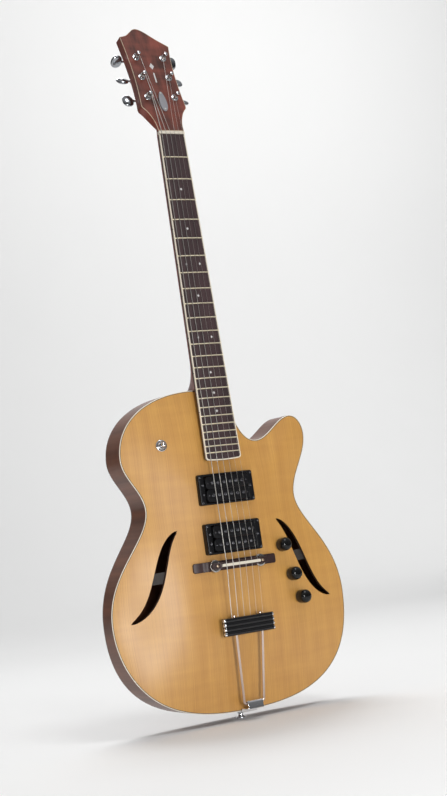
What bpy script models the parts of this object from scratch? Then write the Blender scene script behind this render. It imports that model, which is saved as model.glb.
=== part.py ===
"""Hollow-body electric guitar, built as separate pieces at real size.

World frame: +Z runs up the centre line from the tail to the headstock, the
front (strings and top) faces -Y, and +X is the treble side with the cutaway.
The origin is the middle of the outer face of the tail strap button.

All sizes below are millimetres; meshes are written in metres.
The body frame has its zero at the tail end of the sides, on the centre line,
half way through the depth of the sides there.
The neck frame has its zero on the fingerboard's surface above the body joint
and leans back by NECK_ANGLE. The head frame starts at the nut and leans back
by HEAD_ANGLE more.
"""
import math

import bmesh
import bpy
import numpy as np
from mathutils import Matrix, Vector
from mathutils.geometry import delaunay_2d_cdt

MM = 0.001

# Strings and neck
SCALE_LENGTH = 648.0
FRET_COUNT = 24
JOINT_FRET = 16
BRIDGE_COMPENSATION = 1.5
NUT_WIDTH = 43.0
BOARD_END_WIDTH = 58.5
BOARD_END_MARGIN = 12.0
BOARD_THICKNESS = 6.0
BOARD_RADIUS = 305.0
BOARD_RISE = 17.3
BOARD_BINDING = 1.7
BOARD_END_ROUNDING = 6.0
FRET_HEIGHT = 1.1
FRET_WIDTH = 2.4
FRET_CROWN_WIDTH = 1.0
NECK_ANGLE = math.radians(3.8)
HEAD_ANGLE = math.radians(14.0)
NECK_DEPTH_NUT = 14.5
NECK_DEPTH_BODY = 17.0
HEEL_LENGTH = 42.0
HEEL_SHARPNESS = 2.3
NECK_POINTS = 11
NECK_END_STEP = 0.6
TONGUE_HALF_WIDTH = 22.0
TONGUE_MARGIN = 9.0
HEEL_BACK_WIDTH = 36.0
NECK_RUN_ON = 6.0
NUT_BLEND = 12.0
NUT_LENGTH = 4.5
NUT_TOP = 1.0
STRING_SPAN_NUT = 36.0
STRING_SPAN_BRIDGE = 52.0
STRING_SPAN_TAIL = 52.0
STRING_REST = 6.5
STRING_PAST_POST = 2.0
STRING_TAIL_DEPTH = 5.0
STRING_LIFT_NUT = 1.3
STRING_LIFT_BRIDGE = 3.6
STRING_DIAMETERS = (1.17, 0.91, 0.66, 0.5, 0.5, 0.5)

# Body outline, right half seen from the front; heights are from the tail end
BODY_LENGTH = 470.0
LOWER_HALF_WIDTH = 189.5
LOWER_HEIGHT = 148.0
WAIST_HALF_WIDTH = 125.5
WAIST_HEIGHT = 303.0
UPPER_HALF_WIDTH = 156.0
UPPER_DROP = 85.0
UPPER_STAGGER = 6.0
HORN_TIP_INSET = 22.0
HORN_TIP_RISE = 30.5
CUTAWAY_X = 71.0
CUTAWAY_DROP = 81.0
CUTAWAY_END_DROP = 15.0
NECK_HALF_WIDTH = 27.5
TAIL_FLAT = 14.0

# Body shell
DEPTH_AT_TAIL = 50.0
DEPTH_AT_NECK = 44.0
TOP_THICKNESS = 5.5
BACK_THICKNESS = 4.0
SIDE_THICKNESS = 3.0
BINDING_WIDTH = 2.2
TOP_ARCH = 14.5
BACK_ARCH = 10.0
ARCH_REACH = 110.0
ARCH_RECURVE = 0.6
SLOPE_STEP = 2.0
ARM_CONTOUR = 20.0
ARM_CONTOUR_START = 70.0
ARM_CONTOUR_SPAN = 140.0
BLOCK_HALF_WIDTH = 34.0
NECK_BLOCK_LENGTH = 60.0
NECK_BLOCK_STEP = 4.0
NECK_BLOCK_MARGIN = 12.0
TAIL_BLOCK_LENGTH = 24.0
TAIL_BLOCK_STEP = 5.0
BLOCK_CLEARANCE = 1.0
BRACE_WIDTH = 16.0
BRACE_DEPTH = 10.0
BRACE_DROP = 4.0
BRACE_TILT = math.radians(1.5)
BRACE_CLEARANCE = 13.1

# Sound holes: a curved centre line from tip to tip, its points as distance from the middle and rise above the
# bridge's line, a greatest width, and how full the ends are (a power of a sine)
HOLE_TOP = (83.0, 56.85)
HOLE_TOP_PULL = (122.0, 32.85)
HOLE_END_PULL = (110.7, -46.15)
HOLE_END = (163.0, -66.15)
HOLE_WIDTH = 16.5
HOLE_FULLNESS = 0.55

# Pickups
RING_WIDTH = 91.0
RING_LENGTH = 45.0
RING_CORNER = 3.0
NECK_PICKUP_RISE = 110.35
BRIDGE_PICKUP_RISE = 38.85
NECK_RING_LIFT = 7.0
BRIDGE_RING_LIFT = 9.5
PICKUP_WIDTH = 70.5
PICKUP_LENGTH = 37.0
PICKUP_DEPTH = 16.0
PICKUP_PROUD = 3.0
PICKUP_CORNER = 6.0
PICKUP_GAP = 0.7
PICKUP_CUT_MARGIN = 2.0
POLE_SPAN = 50.0
POLE_ROW_GAP = 18.0
POLE_DIAMETER = 4.8
POLE_PROUD = 0.8

# Bridge
BRIDGE_BASE_WIDTH = 138.0
BRIDGE_BASE_LENGTH = 14.0
BRIDGE_BASE_CORNER = 3.0
BRIDGE_BASE_RISE = 7.0
BRIDGE_END_RISE = 4.0
BRIDGE_STUD_SPAN = 75.0
STUD_DIAMETER = 4.0
WHEEL_DIAMETER = 19.0
WHEEL_THICKNESS = 3.0
WHEEL_EDGE = 0.5
WHEEL_TRAVEL = 1.2
SADDLE_WIDTH = 92.0
SADDLE_LENGTH = 9.0
INSERT_WIDTH = 64.0
INSERT_LENGTH = 3.2
INSERT_PROUD = 1.8
INSERT_DEPTH = 3.0
SADDLE_SHOULDER = 2.0
STUD_INSET = 3.0
BRIDGE_PLATFORM = 12.0

# Tailpiece
TAIL_BLOCK_WIDTH = 82.0
TAIL_BAR_LENGTH = 25.6
TAIL_BAR_THICKNESS = 9.0
TAIL_BAR_HEIGHT = 111.0
TAIL_BAR_LIFT = 37.0
TAIL_RIBS = 4
TAIL_RIB_DEPTH = 1.8
TAIL_RIB_GROOVE = 0.4
ROD_DIAMETER = 4.0
ROD_SPAN_TOP = 43.0
ROD_SPAN_END = 32.5
ROD_BEND = 3.5
ROD_TIP_DIAMETER = 6.0
ROD_TIP_LENGTH = 4.0
CROSS_BAR_HEIGHT = 12.0
CROSS_BAR_LIFT = 20.0
BRACKET_WIDTH = 25.0
BRACKET_THICKNESS = 1.6
BRACKET_REACH = 14.0
BRACKET_STANDOFF = 2.6
HOOK_START = 90.0
HOOK_SWEEP = 160.0

# Controls: each knob's distance from the middle and rise above the bridge's line
KNOB_PLACES = ((83.0, 16.85), (94.0, -27.15), (105.0, -62.15))
KNOB_DIAMETER = 20.0
KNOB_HEIGHT = 17.0
KNOB_SKIRT = 9.0
KNOB_STANDOFF = 3.0
POT_DIAMETER = 17.0
POT_DEPTH = 9.0
POT_BUSH_DIAMETER = 7.0
POT_SHAFT_DIAMETER = 6.0
POT_WASHER_DIAMETER = 14.0
POT_SHAFT_HEIGHT = 12.0
MOUNT_HOLE_GAP = 2.4
SWITCH_PLACE = (-92.0, 393.0)
SWITCH_NUT_DIAMETER = 17.0
SWITCH_BUSH_DIAMETER = 12.0
SWITCH_BORE_DIAMETER = 7.4
SWITCH_BORE_DEPTH = 6.0
SWITCH_CAN_DIAMETER = 20.0
SWITCH_CAN_DEPTH = 18.0
SWITCH_COLLAR_HEIGHT = 5.0
LEVER_PIVOT_DEPTH = 1.5
LEVER_DIAMETER = 3.0
LEVER_LENGTH = 15.0
LEVER_TIP_DIAMETER = 7.0
LEVER_TIP_LENGTH = 7.0
NUT_SEAT = 0.8
NUT_THICKNESS = 2.2
INNER_SEAT = 1.0
JACK_DIAMETER = 12.0
JACK_NUT_DIAMETER = 16.0
JACK_BODY_DIAMETER = 18.0
JACK_BODY_DEPTH = 11.0
JACK_TIP_DIAMETER = 11.0
JACK_TIP_DEPTH = 13.0
JACK_BORE_DIAMETER = 6.6
JACK_BORE_DEPTH = 24.0

# Strap buttons
BUTTON_DIAMETER = 14.5
BUTTON_NECK_DIAMETER = 7.5
BUTTON_HEIGHT = 11.0
BUTTON_SCREW_DIAMETER = 4.0
BUTTON_SCREW_LENGTH = 20.0
HEEL_BUTTON_DROP = 20.0

# Headstock and tuners
HEAD_LENGTH = 187.5
HEAD_WIDTH = 80.0
HEAD_FOOT = 2.0
FACE_FOOT = 3.5
HEAD_THICKNESS = 15.0
FACE_THICKNESS = 2.0
ROD_LINE = 14.4
ROD_LOW = 14.0
ROD_DIAMETER_THIN = 4.4
ROD_NUT_DIAMETER = 5.4
ROD_NUT_LOW = 24.0
ROD_NUT_LENGTH = 7.0
CHANNEL_WIDTH = 6.2
POCKET_LOW = 40.0
POCKET_HIGH = 60.0
POCKET_WIDTH = 7.4
POCKET_DEPTH = 8.0
POCKET_CORNER = 2.0
COVER_LOW = 37.0
COVER_HIGH = 72.0
COVER_WIDTH = 12.0
COVER_TAPER = 0.22
COVER_THICKNESS = 2.0
TUNER_HEIGHTS = (60.5, 97.0, 133.0)
TUNER_OFFSET = 23.0
BARREL_DIAMETER = 9.0
BARREL_PROUD = 2.5
POST_DIAMETER = 6.0
POST_HEIGHT = 14.0
POST_WAIST = 0.5
HOUSING_WIDTH = 15.0
HOUSING_DEPTH = 9.0
HOUSING_WALL = 1.6
HOUSING_ROUNDING = 1.2
GEAR_DIAMETER = 7.0
GEAR_THICKNESS = 3.8
WORM_DIAMETER = 3.6
SHAFT_DIAMETER = 3.6
SHAFT_COLLAR_DIAMETER = 6.4
SHAFT_COLLAR_LENGTH = 2.0
GRIP_START = 14.8
KEY_WIDTH = 18.0
KEY_LENGTH = 20.5
KEY_THICKNESS = 6.5
KEY_TURNS = (-5.0, -48.0, 65.0, -45.0, -38.0, 25.0)

CUT_EXTRA = 2.0
GAP = 0.3
SEAT_GAP = 0.45
BORE_GAP = 0.3

# Longest edges of the flat and arched outlines, and the grids inside the two plates
FINE_STEP = 8.0
EDGE_STEP = 15.0
LONG_STEP = 25.0
TOP_GRID = 21.0
BACK_GRID = 30.0

# Derived places
UPPER_HEIGHT = BODY_LENGTH - UPPER_DROP
HORN_TIP_X = UPPER_HALF_WIDTH - HORN_TIP_INSET
HORN_TIP_HEIGHT = UPPER_HEIGHT + UPPER_STAGGER + HORN_TIP_RISE
CUTAWAY_HEIGHT = BODY_LENGTH - CUTAWAY_DROP
CUTAWAY_END_HEIGHT = BODY_LENGTH - CUTAWAY_END_DROP
HEEL_BUTTON_HEIGHT = BODY_LENGTH - HEEL_BUTTON_DROP
FRONT_EDGE = -DEPTH_AT_TAIL / 2
BACK_SLOPE = (DEPTH_AT_TAIL - DEPTH_AT_NECK) / BODY_LENGTH
TAIL_LIFT = BUTTON_HEIGHT + BRACKET_THICKNESS + 2 * GAP
NECK_TOP = BOARD_THICKNESS + GAP


def fret_distance(number):
    """Distance from the nut to a fret: each fret divides what is left by 2^(1/12)."""
    return SCALE_LENGTH * (1.0 - 2.0 ** (-number / 12.0))


NUT_HEIGHT = fret_distance(JOINT_FRET)
BOARD_LOW = NUT_HEIGHT - fret_distance(FRET_COUNT) - BOARD_END_MARGIN
SADDLE_HEIGHT_N = NUT_HEIGHT - SCALE_LENGTH - BRIDGE_COMPENSATION

BODY_FRAME = Matrix.Translation((0, 0, TAIL_LIFT * MM))
NECK_FRAME = BODY_FRAME @ Matrix.Translation((0, (FRONT_EDGE - BOARD_RISE) * MM, BODY_LENGTH * MM)) \
    @ Matrix.Rotation(-NECK_ANGLE, 4, 'X')
HEAD_START = NUT_HEIGHT + NUT_LENGTH + GAP
HEAD_DROP = 1.0
HEAD_FRAME = NECK_FRAME @ Matrix.Translation((0, HEAD_DROP * MM, HEAD_START * MM)) \
    @ Matrix.Rotation(-HEAD_ANGLE, 4, 'X')

COLOURS = {
    "spruce": ((0.62, 0.36, 0.13), 0.25, 0.0),
    "mahogany": ((0.12, 0.05, 0.03), 0.25, 0.0),
    "maple": ((0.50, 0.32, 0.17), 0.4, 0.0),
    "rosewood": ((0.05, 0.02, 0.015), 0.4, 0.0),
    "veneer": ((0.16, 0.05, 0.02), 0.25, 0.0),
    "cream": ((0.80, 0.72, 0.55), 0.35, 0.0),
    "bone": ((0.85, 0.80, 0.68), 0.35, 0.0),
    "chrome": ((0.80, 0.80, 0.80), 0.12, 1.0),
    "steel": ((0.60, 0.60, 0.60), 0.3, 1.0),
    "black": ((0.01, 0.01, 0.012), 0.3, 0.0),
    "grey": ((0.25, 0.25, 0.25), 0.3, 0.0),
}


def material(name):
    """One Principled material for each finish, made the first time it is asked for."""
    found = bpy.data.materials.get(name)
    if found:
        return found
    colour, roughness, metallic = COLOURS[name]
    made = bpy.data.materials.new(name)
    made.use_nodes = True
    shader = made.node_tree.nodes["Principled BSDF"]
    shader.inputs["Base Color"].default_value = (*colour, 1.0)
    shader.inputs["Roughness"].default_value = roughness
    shader.inputs["Metallic"].default_value = metallic
    return made


def add_mesh(name, vertices, faces, frame, finish):
    """A new object from vertices in millimetres, placed by its frame, its faces turned outwards."""
    mesh = bpy.data.meshes.new(name)
    mesh.from_pydata([tuple(c * MM for c in v) for v in vertices], [], faces)
    shell = bmesh.new()
    shell.from_mesh(mesh)
    bmesh.ops.recalc_face_normals(shell, faces=shell.faces)
    shell.to_mesh(mesh)
    shell.free()
    obj = bpy.data.objects.new(name, mesh)
    bpy.context.scene.collection.objects.link(obj)
    obj.matrix_world = frame
    mesh.materials.append(material(finish))
    return obj


def smooth(obj, angle=35.0):
    """Round pieces are shaded smooth, with sharp edges past an angle."""
    obj.data.shade_smooth()
    obj.data.set_sharp_from_angle(angle=math.radians(angle))
    return obj


def bezier(p0, p1, p2, p3, count):
    """Points on a cubic curve, without its last point."""
    t = np.linspace(0.0, 1.0, count, endpoint=False)[:, None]
    p0, p1, p2, p3 = (np.array(p, float) for p in (p0, p1, p2, p3))
    return (1 - t) ** 3 * p0 + 3 * (1 - t) ** 2 * t * p1 + 3 * (1 - t) * t ** 2 * p2 + t ** 3 * p3


def stretch(start, end, first_pull, last_pull, count):
    """A curve between two places; each pull is its share of the way across and of the way up."""
    start, end = np.array(start, float), np.array(end, float)
    way = end - start
    return bezier(start, start + way * first_pull, end - way * last_pull, end, count)


def body_outline():
    """The body's edge seen from the front, going round from the tail by the treble side.

    Each stretch runs between two places where the edge stands upright or level.
    """
    tail = (TAIL_FLAT / 2, 0)
    lower = (LOWER_HALF_WIDTH, LOWER_HEIGHT)
    waist = (WAIST_HALF_WIDTH, WAIST_HEIGHT)
    treble_upper = (UPPER_HALF_WIDTH, UPPER_HEIGHT + UPPER_STAGGER)
    bass_upper = (UPPER_HALF_WIDTH, UPPER_HEIGHT - UPPER_STAGGER)
    horn = (HORN_TIP_X, HORN_TIP_HEIGHT)
    cutaway = (CUTAWAY_X, CUTAWAY_HEIGHT)
    cutaway_end = (NECK_HALF_WIDTH, CUTAWAY_END_HEIGHT)
    shoulder = (NECK_HALF_WIDTH, BODY_LENGTH)
    half_lower = [
        stretch(tail, lower, (0.685, 0), (0, 0.676), 12),
        stretch(lower, waist, (0, 0.516), (0, 0.258), 9),
    ]
    treble = [
        stretch(waist, treble_upper, (0, 0.341), (0, 0.352), 5),
        stretch(treble_upper, horn, (0, 0.574), (0.545, 0), 5),
        stretch(horn, cutaway, (0.349, 0), (0.349, 0), 7),
        stretch(cutaway, cutaway_end, (0.575, 0), (0.207, 0.455), 6),
    ]
    bass = [
        stretch(waist, bass_upper, (0, 0.364), (0, 0.364), 5),
        stretch(bass_upper, shoulder, (0, 0.622), (0.56, 0), 9),
    ]
    left = np.vstack(half_lower + bass + [[shoulder]])[::-1] * np.array([-1.0, 1.0])
    return np.vstack(half_lower + treble + [[cutaway_end, shoulder], left])


def inset(loop, distance):
    """The loop moved inwards by a distance, mitred at its corners; the loop runs anticlockwise."""
    before = loop - np.roll(loop, 1, axis=0)
    after = np.roll(loop, -1, axis=0) - loop
    before /= np.linalg.norm(before, axis=1)[:, None]
    after /= np.linalg.norm(after, axis=1)[:, None]
    normal_a = np.stack([-before[:, 1], before[:, 0]], 1)
    normal_b = np.stack([-after[:, 1], after[:, 0]], 1)
    middle = normal_a + normal_b
    middle /= np.linalg.norm(middle, axis=1)[:, None]
    stretch = 1.0 / np.maximum((middle * normal_a).sum(1), 0.5)
    return loop + middle * (distance * stretch)[:, None]


def inside(points, loop):
    """True where a point lies inside the loop: it crosses an odd number of edges to one side."""
    a, b = loop, np.roll(loop, -1, axis=0)
    x, z = points[:, 0:1], points[:, 1:2]
    spans = (a[:, 1] > z) != (b[:, 1] > z)
    rise = np.where(b[:, 1] == a[:, 1], 1e-9, b[:, 1] - a[:, 1])
    crossing = a[:, 0] + (z - a[:, 1]) / rise * (b[:, 0] - a[:, 0])
    return ((spans & (x < crossing)).sum(1) % 2) == 1


def edge_distance(points, loop):
    """Shortest distance from each point to the loop's edges."""
    a, b = loop, np.roll(loop, -1, axis=0)
    along = b - a
    t = ((points[:, None, :] - a) * along).sum(2) / (along ** 2).sum(1)
    nearest = a + np.clip(t, 0, 1)[:, :, None] * along
    return np.linalg.norm(points[:, None, :] - nearest, axis=2).min(1)


def dome(points, loop):
    """Height of an arched plate, 0 at its edge and 1 past ARCH_REACH inwards.

    The distance from the edge is the smooth mean of the distances to all of it:
    the inverse cube root of the sum of length over distance to the fourth power.
    """
    points = np.atleast_2d(points)
    a, b = loop, np.roll(loop, -1, axis=0)
    steps = 6
    share = (np.arange(steps) + 0.5) / steps
    samples = (a[:, None, :] + (b - a)[:, None, :] * share[None, :, None]).reshape(-1, 2)
    lengths = np.repeat(np.linalg.norm(b - a, axis=1) / steps, steps)
    squares = ((points[:, None, :] - samples) ** 2).sum(2)
    pull = (lengths / np.maximum(squares, 1e-6) ** 2).sum(1)
    distance = np.minimum((pull / (math.pi / 2)) ** (-1.0 / 3.0), edge_distance(points, loop))
    u = np.clip(distance / ARCH_REACH, 0, 1)
    return ARCH_RECURVE * u * u * (3 - 2 * u) + (1 - ARCH_RECURVE) * (1 - (1 - u) ** 2)


OUTLINE = body_outline()
PLATE_EDGE = inset(OUTLINE, BINDING_WIDTH + GAP)


def arm_contour(x, z):
    """How far the front falls back under the player's forearm, at the bass side's lower edge."""
    across = np.clip((-x - ARM_CONTOUR_START) / (LOWER_HALF_WIDTH - ARM_CONTOUR_START), 0, 1)
    along = np.clip(np.abs(z - LOWER_HEIGHT) / ARM_CONTOUR_SPAN, 0, 1)
    return ARM_CONTOUR * across ** 2 * (3 - 2 * across) * np.cos(along * math.pi / 2) ** 2


def front_edge(x, z):
    return FRONT_EDGE + arm_contour(x, z)


def top_front(x, z):
    """The top's outer surface."""
    points = np.stack([np.ravel(x), np.ravel(z)], 1)
    arch = dome(points, PLATE_EDGE) * inside(points, PLATE_EDGE)
    return front_edge(x, z) - TOP_ARCH * arch.reshape(np.shape(x))


def top_inner(x, z):
    return top_front(x, z) + TOP_THICKNESS


def back_edge(x, z):
    """The back edge of the sides, which come nearer the front towards the neck."""
    return -FRONT_EDGE - BACK_SLOPE * z + 0 * x


def back_inner(x, z):
    points = np.stack([np.ravel(x), np.ravel(z)], 1)
    arch = dome(points, OUTLINE) * inside(points, OUTLINE)
    return back_edge(x, z) + GAP + BACK_ARCH * arch.reshape(np.shape(x))


def refine(loop, longest):
    """The loop with extra points, so that no edge is longer than the given length."""
    points = []
    for start, end in zip(loop, np.roll(loop, -1, axis=0)):
        count = max(1, math.ceil(np.linalg.norm(end - start) / longest - 1e-6))
        points += [start + (end - start) * k / count for k in range(count)]
    return np.array(points)


def slab(name, outer, front, back, frame, finish, holes=(), pitch=None):
    """A plate between two surfaces, given as heights along Y over its outline in X and Z.

    The outline, its holes and a grid of inner points are joined into triangles; the
    front keeps them, the back turns them round, and edges with one triangle get a wall.
    """
    loops = [np.asarray(outer, float)] + [np.asarray(h, float) for h in holes]
    points, edges = [], []
    for loop in loops:
        first = len(points)
        points += [tuple(p) for p in loop]
        edges += [(first + k, first + (k + 1) % len(loop)) for k in range(len(loop))]
    if pitch:
        low, high = loops[0].min(0), loops[0].max(0)
        xs = np.arange(math.ceil(low[0] / pitch) * pitch, high[0], pitch)
        zs = np.arange(math.ceil(low[1] / pitch) * pitch, high[1], pitch)
        grid = np.array([(x + (0.5 * pitch if row % 2 else 0.0), z) for row, z in enumerate(zs) for x in xs])
        keep = inside(grid, loops[0]) & (edge_distance(grid, loops[0]) > 0.45 * pitch)
        for loop in loops[1:]:
            keep &= ~inside(grid, loop) & (edge_distance(grid, loop) > 0.35 * pitch)
        points += [tuple(p) for p in grid[keep]]
    flat, _, triangles, *_ = delaunay_2d_cdt([Vector(p) for p in points], edges, [], 0, 1e-5)
    flat = np.array([tuple(p) for p in flat])
    centres = flat[np.array(triangles)].mean(1)
    keep = inside(centres, loops[0])
    for loop in loops[1:]:
        keep &= ~inside(centres, loop)
    triangles = [tuple(t) for t, k in zip(triangles, keep) if k]
    used = sorted({i for t in triangles for i in t})
    renumber = {old: new for new, old in enumerate(used)}
    flat = flat[used]
    triangles = [tuple(renumber[i] for i in t) for t in triangles]
    turn = [np.cross(flat[t[1]] - flat[t[0]], flat[t[2]] - flat[t[0]]) for t in triangles]
    triangles = [t if area > 0 else t[::-1] for t, area in zip(triangles, turn)]
    y_front = np.broadcast_to(front(flat[:, 0], flat[:, 1]), len(flat))
    y_back = np.broadcast_to(back(flat[:, 0], flat[:, 1]), len(flat))
    count = len(flat)
    vertices = [(p[0], y, p[1]) for p, y in zip(flat, y_front)]
    vertices += [(p[0], y, p[1]) for p, y in zip(flat, y_back)]
    faces = list(triangles) + [tuple(i + count for i in reversed(t)) for t in triangles]
    directed = {(t[k], t[(k + 1) % 3]) for t in triangles for k in range(3)}
    faces += [(b, a, a + count, b + count) for a, b in directed if (b, a) not in directed]
    return add_mesh(name, vertices, faces, frame, finish)


def level(value):
    """A flat surface for slab, at one height."""
    return lambda x, z: np.full(np.shape(x), float(value))


def circle(centre, diameter, count=16):
    angle = np.arange(count) * 2 * math.pi / count
    return np.array(centre) + diameter / 2 * np.stack([np.cos(angle), np.sin(angle)], 1)


def rounded_box(centre, width, length, corner, steps=3):
    """A rectangle with round corners, going anticlockwise."""
    points = []
    for quarter, (sx, sz) in enumerate(((1, 1), (-1, 1), (-1, -1), (1, -1))):
        middle = (centre[0] + sx * (width / 2 - corner), centre[1] + sz * (length / 2 - corner))
        for k in range(steps + 1):
            angle = (quarter + k / steps) * math.pi / 2
            points.append((middle[0] + corner * math.cos(angle), middle[1] + corner * math.sin(angle)))
    return np.array(points)


def turned(name, profile, frame, finish, sides=16):
    """A solid of revolution about Z; the profile lists (radius, height) from bottom to top."""
    rings, vertices = [], []
    for radius, height in profile:
        if radius < 1e-6:
            rings.append([len(vertices)])
            vertices.append((0, 0, height))
        else:
            rings.append(list(range(len(vertices), len(vertices) + sides)))
            vertices += [(radius * math.cos(2 * math.pi * k / sides), radius * math.sin(2 * math.pi * k / sides),
                          height) for k in range(sides)]
    faces = []
    for low, high in zip(rings, rings[1:]):
        for k in range(sides):
            m = (k + 1) % sides
            if len(low) == 1 and len(high) > 1:
                faces.append((low[0], high[m], high[k]))
            elif len(high) == 1 and len(low) > 1:
                faces.append((low[k], low[m], high[0]))
            elif len(low) > 1:
                faces.append((low[k], low[m], high[m], high[k]))
    if len(rings[0]) > 1 and len(rings[-1]) > 1:
        for k in range(sides):
            m = (k + 1) % sides
            faces.append((rings[-1][k], rings[-1][m], rings[0][m], rings[0][k]))
    return smooth(add_mesh(name, vertices, faces, frame, finish))


def rod(name, radius, low, high, frame, finish="steel", sides=12):
    """A plain cylinder along Z."""
    return turned(name, ((0, low), (radius, low), (radius, high), (0, high)), frame, finish, sides)


def tube(name, path, diameter, frame, finish, sides=8):
    """A round bar along a path of points, mitred at its bends, with flat ends."""
    path = [Vector(p) for p in path]
    vertices = []
    side = None
    for k, point in enumerate(path):
        before = (point - path[k - 1]).normalized() if k else (path[1] - point).normalized()
        after = (path[k + 1] - point).normalized() if k + 1 < len(path) else before
        along = (before + after).normalized()
        if side is None:
            side = before.orthogonal().normalized()
        side = (side - before * side.dot(before)).normalized()
        up = before.cross(side)
        for j in range(sides):
            angle = 2 * math.pi * j / sides
            offset = (side * math.cos(angle) + up * math.sin(angle)) * diameter / 2
            slide = offset.dot(along) / before.dot(along)
            vertices.append(tuple(point + offset - before * slide))
        side = side - after * side.dot(after)
    last = (len(path) - 1) * sides
    faces = [(k * sides + j, k * sides + (j + 1) % sides, (k + 1) * sides + (j + 1) % sides, (k + 1) * sides + j)
             for k in range(len(path) - 1) for j in range(sides)]
    faces += [tuple(reversed(range(sides))), tuple(range(last, last + sides))]
    return smooth(add_mesh(name, vertices, faces, frame, finish))


def box(name, low, high, frame, finish):
    """A plain block between two corners."""
    corners = [(x, y, z) for z in (low[2], high[2]) for y in (low[1], high[1]) for x in (low[0], high[0])]
    faces = [(0, 2, 3, 1), (4, 5, 7, 6), (0, 1, 5, 4), (2, 6, 7, 3), (0, 4, 6, 2), (1, 3, 7, 5)]
    return add_mesh(name, corners, faces, frame, finish)


def combine(obj, other, operation):
    """Join a tool to an object, or cut it out; the tool is only a guide."""
    other.name = f"guide_{obj.name}_{len(obj.modifiers)}"
    other.hide_render = True
    other.display_type = 'WIRE'
    modifier = obj.modifiers.new(operation.lower(), 'BOOLEAN')
    modifier.operation = operation
    modifier.object = other
    return obj


def toward(axis_from, axis_to):
    """The turn that carries one direction to another."""
    return Vector(axis_from).rotation_difference(Vector(axis_to)).to_matrix().to_4x4()


def top_mount(x, z, lift=0.0):
    """A frame on the top's outer surface, with Z pointing straight out of it."""
    here = float(top_front(np.array([x]), np.array([z]))[0])
    step = SLOPE_STEP
    slope_x = float((top_front(np.array([x + step]), np.array([z])) - top_front(np.array([x - step]),
                                                                             np.array([z])))[0]) / (2 * step)
    slope_z = float((top_front(np.array([x]), np.array([z + step])) - top_front(np.array([x]),
                                                                             np.array([z - step])))[0]) / (2 * step)
    outward = Vector((slope_x, -1.0, slope_z)).normalized()
    place = Vector((x, here, z)) + outward * lift
    return BODY_FRAME @ Matrix.Translation(place * MM) @ toward((0, 0, 1), outward)


def hole_outline(side):
    """One sound hole: the centre line swept with a width that grows and fades like a power of a sine."""
    count = 10
    curve = np.vstack([bezier(HOLE_TOP, HOLE_TOP_PULL, HOLE_END_PULL, HOLE_END, count), [HOLE_END]])
    curve[:, 1] += bridge_height()
    t = np.linspace(0, 1, count + 1)
    along = np.gradient(curve, axis=0)
    along /= np.linalg.norm(along, axis=1)[:, None]
    normal = np.stack([-along[:, 1], along[:, 0]], 1)
    half = HOLE_WIDTH / 2 * np.abs(np.sin(math.pi * t)) ** HOLE_FULLNESS
    outer = curve + normal * half[:, None]
    inner = curve - normal * half[:, None]
    loop = np.vstack([outer, inner[-2:0:-1]])
    if side < 0:
        loop = loop[::-1] * np.array([-1.0, 1.0])
    area = 0.5 * np.sum(loop[:, 0] * np.roll(loop[:, 1], -1) - np.roll(loop[:, 0], -1) * loop[:, 1])
    return loop if area > 0 else loop[::-1]


def half_width_at(height):
    """Half the body's width at a height, from the outline's bass side."""
    side = OUTLINE[(OUTLINE[:, 0] < 0) & (OUTLINE[:, 1] < UPPER_HEIGHT)]
    side = side[np.argsort(side[:, 1])]
    return float(np.interp(height, side[:, 1], -side[:, 0]))


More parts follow.
